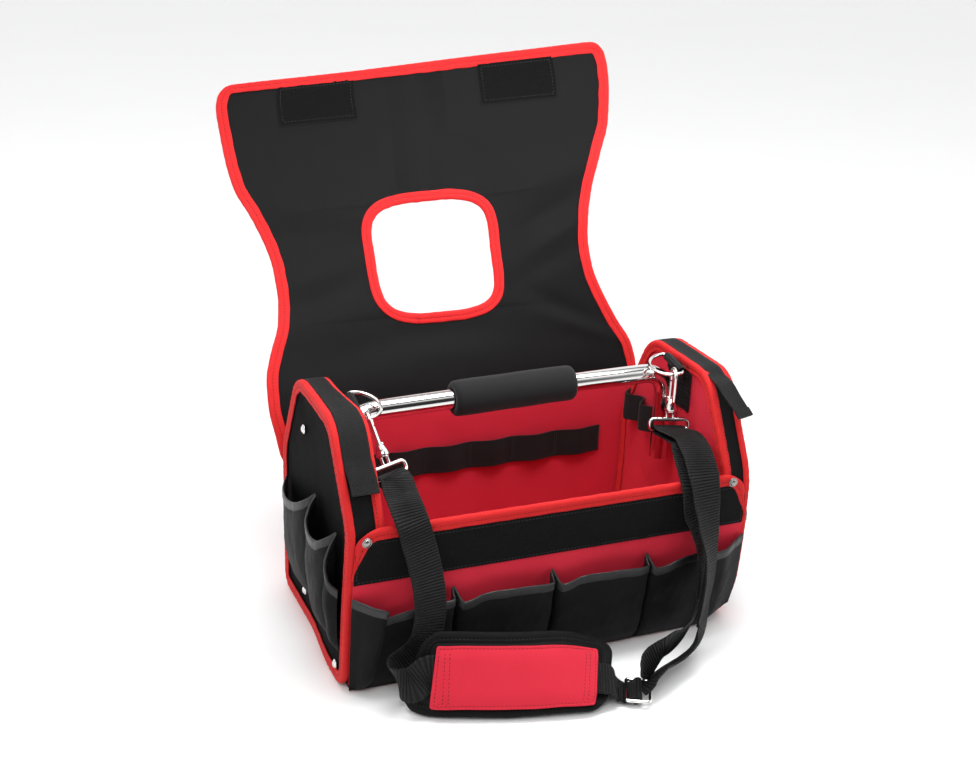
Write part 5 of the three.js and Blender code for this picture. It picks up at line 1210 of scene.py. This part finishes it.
def build_clip(side):
    k = CLIPS[side]
    s = k["s"]
    rad = math.radians
    e1 = np.array([0, -math.cos(rad(k["dip"])), -math.sin(rad(k["dip"]))])
    e2 = np.array([-s * math.cos(rad(k["tilt"])), 0, -math.sin(rad(k["tilt"]))])
    e2 = unit(e2 - e1 * (e1 @ e2))
    bar = np.array(k["bar"], float)
    n3 = unit(np.cross(e1, e2))

    # D ring
    dee = [(-RING_HALF + 3 + (2 * RING_HALF - 6) * i / 20, 0) for i in range(21)]
    for i in range(1, 8):
        a = -math.pi / 2 + i / 8 * math.pi / 2
        dee.append((RING_HALF - 3 + 3 * math.cos(a), 3 + 3 * math.sin(a)))
    dee += [(RING_HALF, 3 + (RING_SIDE - 3) * i / 4) for i in range(5)]
    dee += [(RING_HALF * math.cos(math.pi * i / 36), RING_SIDE + RING_HALF * math.sin(math.pi * i / 36)) for i in range(1, 36)]
    dee += [(-RING_HALF, RING_SIDE - (RING_SIDE - 3) * i / 4) for i in range(5)]
    for i in range(1, 8):
        a = math.pi + i / 8 * math.pi / 2
        dee.append((-RING_HALF + 3 + 3 * math.cos(a), 3 + 3 * math.sin(a)))
    D = np.array(dee)
    P = bar + D[:, :1] * e1 + D[:, 1:] * e2
    v, f, u = tube(P, RING_WIRE, closed=True, n=18, up=n3)
    make(f"{side}_ring_wire", v, f, CHROME, [f"{side}_d_ring"], u, sharp=60, rigid=True)

    # tab of webbing folded round the ring's straight side, sewn down the end panel
    up = unit(np.cross(e1, [s, 0, 0]))
    up = -up if up[2] < 0 else up
    X = np.array([-s, 0, 0.0])
    line = [(-5.2, -16.0), (-5.2, -8), (-5.15, -2), (-4.6, 1.2)]
    line += [(3.35 * math.cos(rad(a)), 3.35 * math.sin(rad(a))) for a in range(150, -121, -15)]
    line += [(-2.9, -4.6), (-3.4, -9), (-3.5, -12.5)]
    q = resample(np.array(line), 0.7)
    P = bar + q[:, :1] * X + q[:, 1:] * up
    t = tangents(P)
    W = np.tile(e1, (len(P), 1))
    n = np.cross(t, W)
    S = arc(P)
    rib = 0.12 * np.cos(S * 2 * np.pi / 2.2)
    prof = np.stack([np.array([(-16, -0.35), (-15.6, -0.62), (15.6, -0.62), (16, -0.35), (16, 0.35), (15.6, 0.62), (-15.6, 0.62), (-16, 0.35)])] * len(P))
    prof[:, 1:3, 1] -= rib[:, None]
    prof[:, 5:7, 1] += rib[:, None]
    v, f, u = sweep(P, W, n, prof)
    o = make(f"{side}_ring_tab", v, f, WEB, [f"{side}_d_ring_tab"], u, rigid=True)

    # the tab's tail, sewn down the inner panel
    y = bar[1] + 2
    tail = Rail([(s * 175.9, y, z, 0, 1, 0) for z in (246, 236, 226, 216, 206, 197)])
    webbing(tail, 32.0, 1.4, f"{side}_tab_tail", (), 191 + s, rigid=False)

    # hook frame: local Y up the hook to the ring, local Z along the ring's wire
    eye = bar + e1 * RING_HALF * math.cos(rad(k["bow"])) + e2 * (RING_SIDE + RING_HALF * math.sin(rad(k["bow"])))
    Y = -unit(np.array(k["lie"], float))
    Zx = np.array([math.cos(rad(k["turn"])), math.sin(rad(k["turn"])), 0])
    Zx = unit(Zx - Y * (Zx @ Y))
    Xx = unit(np.cross(Y, Zx))

    def put(part):
        return place(part, eye, Xx, Y, Zx)
    # claw: a cast bar bent over the ring wire, thicker at its root, with a nose
    path = [(0, -34.5), (-2.5, -32.6), (-5.6, -30), (-7.4, -26.5), (-7.75, -22), (-7.75, -12), (-7.75, -2.3)]
    path += [(7.75 * math.cos(a), -2.3 + 7.75 * math.sin(a)) for a in np.linspace(math.pi, 0, 19)[1:]]
    path += [(7.75, -5.0), (7.7, -7.6)]
    q = resample(np.array(path), 1.0)
    P = np.stack([q[:, 0], q[:, 1], 0 * q[:, 0]], 1)
    S = arc(P) / arc(P)[-1]
    r = 1.85 + 0.9 * np.clip(1 - S * 6, 0, 1) - 0.35 * np.clip((S - 0.93) / 0.07, 0, 1)
    claw = tube(P, r, n=16, up=(0, 0, 1))
    # flat web under the claw that carries the gate's pin
    cheek = []
    for z in (-2.6, 2.6):
        ring = np.array([(3.2, -34), (8.4, -33), (10.3, -30), (10.4, -26.4), (8.9, -24.5), (6.5, -24.5), (4.2, -27), (-1.5, -30.6), (-3, -33)])
        cheek.append((ring, z))
    V, Fc = [], []
    for ring, z in cheek:
        for zz in (z - 0.65, z + 0.65):
            V += [(a, b, zz) for a, b in ring]
    m = len(cheek[0][0])
    for c in range(2):
        o = c * 2 * m
        Fc.append([o + i for i in range(m)][::-1])
        Fc.append([o + m + i for i in range(m)])
        Fc += [[o + i, o + (i + 1) % m, o + m + (i + 1) % m, o + m + i] for i in range(m)]
    cheeks = (np.array(V, float), Fc, np.zeros((len(V), 2)))
    collar = lathe([(0, -37.0), (5.9, -37.0), (6.5, -36.5), (6.6, -35.6), (6.4, -34.4), (5.8, -32.6), (5.0, -30.6), (4.2, -28.6), (3.4, -26.9), (2.6, -25.8), (1.6, -25.3), (0, -25.2)], 32)
    collar = place(collar, (0, 0, 0), (1, 0, 0), (0, 0, 1), (0, 1, 0))
    pin = lathe([(0, -3.6), (1.0, -3.5), (1.3, -3.2), (1.0, -3.0), (1.0, 3.0), (1.3, 3.2), (1.0, 3.5), (0, 3.6)], 14)
    pin = place(pin, (7.7, -27, 0), (1, 0, 0), (0, 1, 0), (0, 0, 1))
    v, f, u = put(join(claw, cheeks, collar, pin))
    make(f"{side}_hook_body", v, f, CHROME, [f"{side}_hook_claw"], u, sharp=42, rigid=True)

    # gate: a lever on the pin with a thumb stud
    gp = np.array([(7.7, -27), (7.7, -22), (7.7, -16), (7.7, -11), (7.7, -8.9)])
    q = resample(gp, 0.8)
    P = np.stack([q[:, 0], q[:, 1], 0 * q[:, 0]], 1)
    S = arc(P) / arc(P)[-1]
    lever = tube(P, 1.75 - 0.25 * S, n=14, up=(0, 0, 1))
    hub = lathe([(1.35, -1.6), (2.2, -1.6), (2.5, -1.2), (2.5, 1.2), (2.2, 1.6), (1.35, 1.6)], 18)
    hub = (hub[0], hub[1] + [[6 * i + 5, 6 * i, 6 * ((i + 1) % 18), 6 * ((i + 1) % 18) + 5] for i in range(18)], hub[2])
    hub = place(hub, (7.7, -27, 0), (1, 0, 0), (0, 1, 0), (0, 0, 1))
    stud = lathe([(0, 0), (1.6, 0), (1.9, 0.7), (1.7, 1.5), (0.9, 2.0), (0, 2.1)], 16)
    stud = place(stud, (9.0, -20.5, 0), (0, 1, 0), (0, 0, 1), (1, 0, 0))
    v, f, u = put(join(lever, hub, stud))
    make(f"{side}_gate_lever", v, f, CHROME, [f"{side}_hook_gate"], u, sharp=42, body=f"{side}_gate", rigid=True)

    # base loop for the strap, on a post that turns in the collar
    a = rad(k["swivel"])
    bx, bz = Xx * math.cos(a) - Zx * math.sin(a), Xx * math.sin(a) + Zx * math.cos(a)
    w, y0, y1, c = HOOK_BASE_HALF, -HOOK_LEN, -46.5, 4.0
    ring = []
    for cx, cy, a0 in ((w - c, y0 + c, -90), (w - c, y1 - c, 0), (-w + c, y1 - c, 90), (-w + c, y0 + c, 180)):
        for i in range(9):
            b = rad(a0 + i / 8 * 90)
            ring.append((cx + c * math.cos(b), cy + c * math.sin(b)))
    q = resample(np.array(ring), 1.4, closed=True)
    P = np.stack([0 * q[:, 0], q[:, 1], q[:, 0]], 1)
    loop = tube(P, HOOK_BAR, closed=True, n=14, up=(1, 0, 0))
    post = lathe([(0, -38.6), (4.9, -38.5), (5.3, -38.1), (5.3, -37.6), (4.9, -37.2), (0, -37.1)], 24)
    leg = lathe([(0, -47.6), (1.6, -47.5), (1.75, -46.2), (1.6, -44.5), (1.6, -39.5), (1.9, -38.4), (0, -38.3)], 16)
    posts = [place(post, (0, 0, 0), (1, 0, 0), (0, 0, 1), (0, 1, 0))]
    posts += [place(leg, (0, 0, z), (1, 0, 0), (0, 0, 1), (0, 1, 0)) for z in (-3.4, 3.4)]
    v, f, u = place(join(loop, *posts), eye, bx, Y, bz)
    make(f"{side}_hook_loop", v, f, CHROME, [f"{side}_hook_base"], u, sharp=42, rigid=True)
    lead = unit(np.array(k["lead"], float))
    CLIP_AT[side] = (eye + Y * -HOOK_LEN, unit(bz), lead)


for side in ("left", "right"):
    build_clip(side)


# --------------------------------------------------------------------------
# Shoulder strap, pad and slide
# --------------------------------------------------------------------------
def turn_rows(bar, w, lead, r, tail):
    d = unit(lead - w * (lead @ w))
    n = unit(np.cross(d, w))
    n = -n if n[2] < 0 else n

    def row(along, up):
        return (*(bar + d * along + n * up), *w)
    rows = [row(tail, -r), row(7, -r)] if tail > 0 else []
    for k in range(7):
        a = -math.pi / 2 + k / 6 * math.pi
        rows.append(row(-r * math.cos(a), r * math.sin(a)))
    rows.append(row(7, r))
    return rows


PAD = Rail(PAD_PATH)


def on_pad(table, sign, n=14):
    us = np.linspace(table[0, 0], table[-1, 0], n)
    P, W, N, _ = PAD.at(us)
    a, l = np.interp(us, table[:, 0], table[:, 1]), np.interp(us, table[:, 0], table[:, 2])
    Q = P + W * a[:, None] + N * l[:, None]
    return [(*q, *(sign * w)) for q, w in zip(Q, W)]


def pad_surface(l, a, b):
    """Point of the pad at length l, offset a across it and lift b off its middle."""
    shape = np.broadcast(l, a, b).shape
    l, a, b = (np.broadcast_to(x, shape).ravel() for x in (l, a, b))
    inside = np.clip(l, 0, PAD.length)
    P, W, N, T = PAD.at(np.interp(inside, PAD.s, PAD.u))
    return (P + T * (l - inside)[:, None] + W * a[:, None] + N * b[:, None]).reshape(*shape, 3)


def rr(hl, ha, r, n=12):
    """Rounded rectangle outline in (length, across)."""
    r = max(min(r, hl, ha), 0.01)
    pts = []
    for cx, cy, a0 in ((hl - r, -ha + r, -90), (hl - r, ha - r, 0), (-hl + r, ha - r, 90), (-hl + r, -ha + r, 180)):
        for i in range(n + 1):
            a = math.radians(a0 + 90 * i / n)
            pts.append((cx + r * math.cos(a), cy + r * math.sin(a)))
    return np.array(pts)


def cushion(hl, ha, r, section, to3):
    """A soft plate with rounded corners: section is rows of (inset, top, bottom)."""
    section = np.array(section, float)
    ins = section[:, 0]
    a = np.unique(np.r_[-ha + ins[ins < ha], np.linspace(-ha + 14, ha - 14, 9), ha - ins[ins < ha]].round(4))
    over = np.maximum(np.abs(a) - (ha - r), 0)
    reach = hl - r + np.sqrt(np.maximum(r * r - over ** 2, 0))
    rel = np.unique(np.r_[ins / hl, np.linspace(ins[-1] / hl, 1, 30)].round(5))
    rel = np.unique(np.r_[rel - 1, 1 - rel].round(5))
    L = rel[None] * reach[:, None]
    A = a[:, None] + 0 * rel[None]
    x, y = np.abs(L) - (hl - r), np.abs(A) - (ha - r)
    e = np.where((x > 0) & (y > 0), r - np.hypot(np.maximum(x, 0), np.maximum(y, 0)), np.minimum(hl - np.abs(L), ha - np.abs(A)))
    e = np.maximum(e, 0)
    T, Bm = np.interp(e, ins, section[:, 1]), np.interp(e, ins, section[:, 2])
    top, bot = to3(L, A, T), to3(L, A, Bm)
    R, C = L.shape
    f = grid_faces(R, C)
    n = R * C
    ring = [i for i in range(C)] + [i * C + C - 1 for i in range(1, R)] + [(R - 1) * C + j for j in range(C - 2, -1, -1)] + [i * C for i in range(R - 2, 0, -1)]
    ring = np.array(ring)
    nxt = np.roll(ring, -1)
    faces = f.tolist() + (f[:, ::-1] + n).tolist() + np.stack([nxt, ring, ring + n, nxt + n], 1).tolist()
    uv = np.stack([L, A], 2).reshape(-1, 2)
    return np.vstack([top.reshape(-1, 3), bot.reshape(-1, 3)]), faces, np.vstack([uv, uv])


def build_strap():
    turn = HOOK_BAR + WEB_T / 2 + 0.5
    bar, along, lead = CLIP_AT["left"]
    q = SLIDE
    c = np.array([q["x"] + 1.0, q["y"] + 0.5, q["z"] + 1.6], float)
    w = unit(np.array([0.45, 0.89, 0.05]))
    t = np.array([0.89, -0.45, 0])
    t = unit(t - w * (t @ w))
    n = np.cross(w, t)
    n = -n if n[2] < 0 else n

    def at(a, up, sign=1, off=0):
        return (*(c + t * a + n * up + w * off), *(w * sign))
    tail = [at(-19.5, 1.2, -1), at(-15.5, -2.0, -1), at(-12, -3.2, -1), at(-8.5, -2.6, -1), at(-5.0, -0.6, -1), at(-2.3, 2.1, -1), at(0.3, 3.0, -1), at(2.6, 1.6, -1), at(2.7, -0.7, -1), at(0.8, -2.6, -1), at(-3.5, -4.3, -1)]
    rows = turn_rows(bar, along, lead, turn, 15) + STRAP_LEFT + on_pad(PAD_RUN, -1) + tail
    webbing(Rail(rows), WEB_W, WEB_T, "strap_left_web", ["strap_left"], 131)
    bar, along, lead = CLIP_AT["right"]
    rows = [(*p[:3], *p[3:]) for p in reversed(STRAP_RIGHT_BACK)] + turn_rows(bar, along, lead, turn, 0) + STRAP_RIGHT_FRONT
    webbing(Rail(rows), WEB_W, WEB_T, "strap_right_web", ["strap_right"], 141)

    # sewn patch of stitches where the left end is turned back on itself
    part = []
    rail = Rail(turn_rows(bar, along, lead, turn, 0))
    barL, alongL, leadL = CLIP_AT["left"]
    rows = turn_rows(barL, alongL, leadL, turn, 15) + STRAP_LEFT[:2]
    r2 = Rail(rows)
    for off in (22.0, 25.5, 31.0):
        start = arc(np.array([x[:3] for x in rows]))[9]
        uu = np.interp(np.full(40, start + off), r2.s, r2.u)
        P, W, N, _ = r2.at(uu)
        N = np.where(N[:, 2:3] < 0, -N, N)
        line = P + W * np.linspace(-14, 14, 40)[:, None] + N * (WEB_T / 2 + 0.05)
        part.append(stitches(line, N, pitch=2.6, length=2.0, height=0.35))
    v, f, u = join(*part)
    make("strap_end_stitches", v, f, THREAD_BLACK, (), u, rigid=True)

    # padded cover with a bound border
    half_l, half_a = PAD.length / 2, PAD_W / 2
    sec = [(0, 0.35, -0.35), (0.25, 1.3, -1.3), (0.8, 2.0, -2.0), (2.2, 2.5, -2.4), (4.5, 2.6, -2.4), (6.6, 2.35, -2.2), (7.2, 2.1, -2.0), (7.8, 2.3, -2.1), (9.4, 2.5, -2.3), (10.2, 2.0, -1.9),
           (10.8, 2.2, -2.0), (12.2, 3.0, -2.7), (14.5, 3.6, -3.4), (18, 3.95, -3.8), (24, 4.1, -3.95), (31, 4.15, -4.0), (36, 4.15, -4.0)]

    def pad_at(l, a):
        k = np.clip(l / half_l, 0, 1)
        return l + half_l + (0.17 + 0.07 * k) * a + 2.5 * k, a + 4.5 * k

    def to3(l, a, b):
        L, A = pad_at(l, a)
        return pad_surface(L, A, b * (1 + 0.05 * ripple2(l, a, 46, 151)))
    v, f, u = cushion(half_l, half_a, 17, sec, to3)
    o = make("pad_cover", v, f, BLACK, ["shoulder_pad"], u, sharp=60, rigid=True)
    part = []
    for inset, lift in ((7.2, 2.15),):
        L = resample(rr(half_l - inset, half_a - inset, 17 - inset), 2.0, closed=True)
        for sgn in (1, -1):
            p = pad_surface(*pad_at(L[:, 0], L[:, 1]), np.full(len(L), sgn * lift))
            p2 = pad_surface(*pad_at(L[:, 0], L[:, 1]), np.full(len(L), sgn * (lift + 1)))
            part.append(stitches(p, unit(p2 - p), closed=True, height=0.35))
    v, f, u = join(*part)
    make("pad_stitches", v, f, THREAD_BLACK, (), u, rigid=True)

    # patch sewn over the webbing
    u0, u1 = PATCH_RUN[0, 0], PATCH_RUN[-1, 0]
    s0, s1 = np.interp([u0, u1], PAD.u, PAD.s)
    mid, hl = (s0 + s1) / 2, (s1 - s0) / 2

    def lift_at(L):
        return np.interp(np.interp(L, PAD.s, PAD.u), PATCH_RUN[:, 0], PATCH_RUN[:, 2])

    def to3p(l, a, b):
        L = l + mid + 0.19 * a * np.clip((l + hl) / (2 * hl), 0, 1)
        edge = np.clip((np.abs(a) - 17) / 9, 0, 1)
        droop = -2.0 * edge * edge * (3 - 2 * edge)
        return pad_surface(L, a - 3, lift_at(L) + droop + b + 0.12 * ripple2(l, a, 30, 161))
    sec = [(0, 0.1, -0.1), (0.3, 0.55, -0.5), (1.0, 0.75, -0.6), (2.2, 0.72, -0.6), (2.7, 0.6, -0.6), (3.2, 0.72, -0.6), (5.4, 0.75, -0.6), (9, 0.75, -0.6), (14, 0.75, -0.6), (19, 0.75, -0.6), (24, 0.75, -0.6), (27, 0.75, -0.6)]
    v, f, u = cushion(hl, PATCH_W / 2, 2.5, sec, to3p)
    o = make("pad_patch_cloth", v, f, RED, ["pad_patch"], u, sharp=60, rigid=True)
    part = []
    L = resample(rr(hl - 2.7, PATCH_W / 2 - 2.7, 1.5), 2.0, closed=True)
    p, p2 = to3p(L[:, 0], L[:, 1], 0.6), to3p(L[:, 0], L[:, 1], 1.6)
    part.append(stitches(p, unit(p2 - p), closed=True, height=0.3))
    for x in (-hl + 13, hl - 13, -hl + 8.5, hl - 8.5):
        a = np.linspace(-PATCH_W / 2 + 4, PATCH_W / 2 - 4, 50)
        p, p2 = to3p(np.full(50, x), a, 0.7), to3p(np.full(50, x), a, 1.7)
        part.append(stitches(p, unit(p2 - p), height=0.3))
    v, f, u = join(*part)
    make("patch_stitches", v, f, THREAD_RED, (), u, rigid=True)

    # slide: a wire frame with a bar across
    ring = []
    hw, hl = 18.2, 12.6
    for cx, cy, a0 in ((hw - 4.2, -hl + 4.2, -90), (hw - 4.2, hl - 4.2, 0), (-hw + 4.2, hl - 4.2, 90), (-hw + 4.2, -hl + 4.2, 180)):
        for i in range(9):
            b = math.radians(a0 + i / 8 * 90)
            ring.append((cx + 2.7 * math.cos(b), cy + 2.7 * math.sin(b)))
    R = resample(np.array(ring), 1.2, closed=True)
    P = np.stack([R[:, 0], R[:, 1], 0 * R[:, 0]], 1)
    frame_w = tube(P, 1.75, closed=True, n=14, up=(0, 0, 1))
    B = np.stack([np.linspace(-q["halfW"] + 1.6, q["halfW"] - 1.6, 24), np.zeros(24), np.zeros(24)], 1)
    bar_w = tube(B, 1.25, n=12, up=(0, 0, 1))
    v, f, u = place(join(frame_w, bar_w), c, w, t, np.cross(w, t))
    make("slide_frame", v, f, CHROME, ["slide_adjuster"], u, sharp=50, rigid=True)


build_strap()


# --------------------------------------------------------------------------
# Webbing over the end boxes and tool loops inside
# --------------------------------------------------------------------------
def build_trims():
    for side, s in (("left", -1), ("right", 1)):
        top = END_L + END_O * 2.3
        sel = (top[:, 1] > 176) & ~((top[:, 0] > 0) & (top[:, 1] < 215)) & (top[:, 0] > (-80 if s < 0 else -56))
        p = top[sel]
        p = p[np.argsort(p[:, 0])]
        p = p[::5]
        rows = list(TOP_STRAP_ENDS[side]) + [(s * 187.8, y, z, 1, 0, 0) for y, z in p]
        rail = Rail(rows)
        webbing(rail, 19.0, 1.5, f"{side}_top_web", [f"{side}_top_strap"], 171 + s, rib=2.0, depth=0.16, mat=WEB_FINE, rigid=False)
        # hem at its free end
        u, S = rail.even(0.5)
        P, W, n, t = rail.at(u)
        sgn = np.sign(n[10, 2])
        k = S < 9
        prof = np.array([(-9.6, -0.2), (-9.3, -0.6), (9.3, -0.6), (9.6, -0.2), (9.6, 0.6), (9.2, 1.0), (-9.2, 1.0), (-9.6, 0.6)]) * np.array([1, sgn])
        v, f, uv = sweep((P + n * sgn * 0.9)[k], W[k], n[k], prof)
        make(f"{side}_top_web_hem", v, f, WEB_FINE, (), uv)

    def loops(stations, place3, name, cad, z0, z1, seed, swell=7):
        q = np.linspace(stations[0], stations[-1], int((stations[-1] - stations[0]) / 1.5) + 1)
        k = np.clip(np.searchsorted(stations, q, side="right") - 1, 0, len(stations) - 2)
        f = (q - stations[k]) / np.diff(stations)[k]
        o = 1.2 + swell * np.sin(np.pi * f) ** 2
        zz = np.linspace(z0, z1, 12)
        P = place3(q[None] + 0 * zz[:, None], o[None] * (1 + 0.04 * ripple2(q[None], zz[:, None], 30, seed)), zz[:, None] + 0 * q[None])
        N = grid_normals(P)
        mid = place3(np.array([[q[5]]]), np.array([[5.0]]), np.array([[z0]])) - place3(np.array([[q[5]]]), np.array([[1.0]]), np.array([[z0]]))
        N = N * np.sign(np.sum(N[5, 5] * mid[0, 0]))
        v, f2, u = shell(P, N, -0.6, 0.6)
        o2 = make(name, v, f2, ELASTIC, [cad], u)
        arc(P[5])[-1] * MM
        part = []
        for x in stations:
            zs = np.linspace(z0 + 2, z1 - 2, 20)
            for dx in (-1.2, 1.2):
                xx = np.clip(x + dx, stations[0] + 0.6, stations[-1] - 0.6)
                p = place3(np.full((1, 20), xx), np.full((1, 20), 1.95), zs[None])[0]
                part.append(stitches(p, np.tile(unit(mid[0, 0]), (20, 1)), pitch=2.4, length=1.9))
        v, f2, u = join(*part)
        make(name + "_stitches", v, f2, THREAD_BLACK, (), u)
    loops(BACK_LOOPS, lambda x, o, z: np.stack(np.broadcast_arrays(x, WALL_Y - WALL_T - o, z), -1), "back_elastic", "back_tool_loops", 103, 133, 181, 4)
    loops(RIGHT_LOOPS, lambda y, o, z: np.stack(np.broadcast_arrays(INNER_IN - o, y, z), -1), "right_elastic", "right_tool_loops", 150, 179, 183, 12)

    # rivets: a domed cap with a rolled rim
    prof = [(0, 0), (4.4, 0), (4.75, 0.35), (4.7, 0.8), (4.3, 1.15), (3.9, 1.25), (3.7, 1.15), (3.45, 1.7), (2.8, 2.3), (1.8, 2.75), (0.8, 2.95), (0, 3.0)]
    cap = lathe(prof, 32)
    for side, s in (("left", -1), ("right", 1)):
        for name, (y, z) in END_RIVETS.items():
            v, f, u = place(cap, (s * (OUTER_OUT + 0.2), y, z), (0, 1, 0), (0, 0, 1), (s, 0, 0))
            make(f"{side}_{name}_rivet_cap", v, f, CHROME, [f"{side}_rivet_{name}"], u, sharp=70)
        # the front rivets take the darkened chrome, a painted dark reflection
        v, f, u = place(cap, (FRONT_RIVET[side][0], -WALL_Y - 1.8, FRONT_RIVET[side][1]), (1, 0, 0), (0, 0, 1), (0, -1, 0))
        make(f"{side}_wall_rivet_cap", v, f, CHROME_PAINTED_DARK_REFLECTION, [f"{side}_rivet_wall"], u, sharp=70)


build_trims()
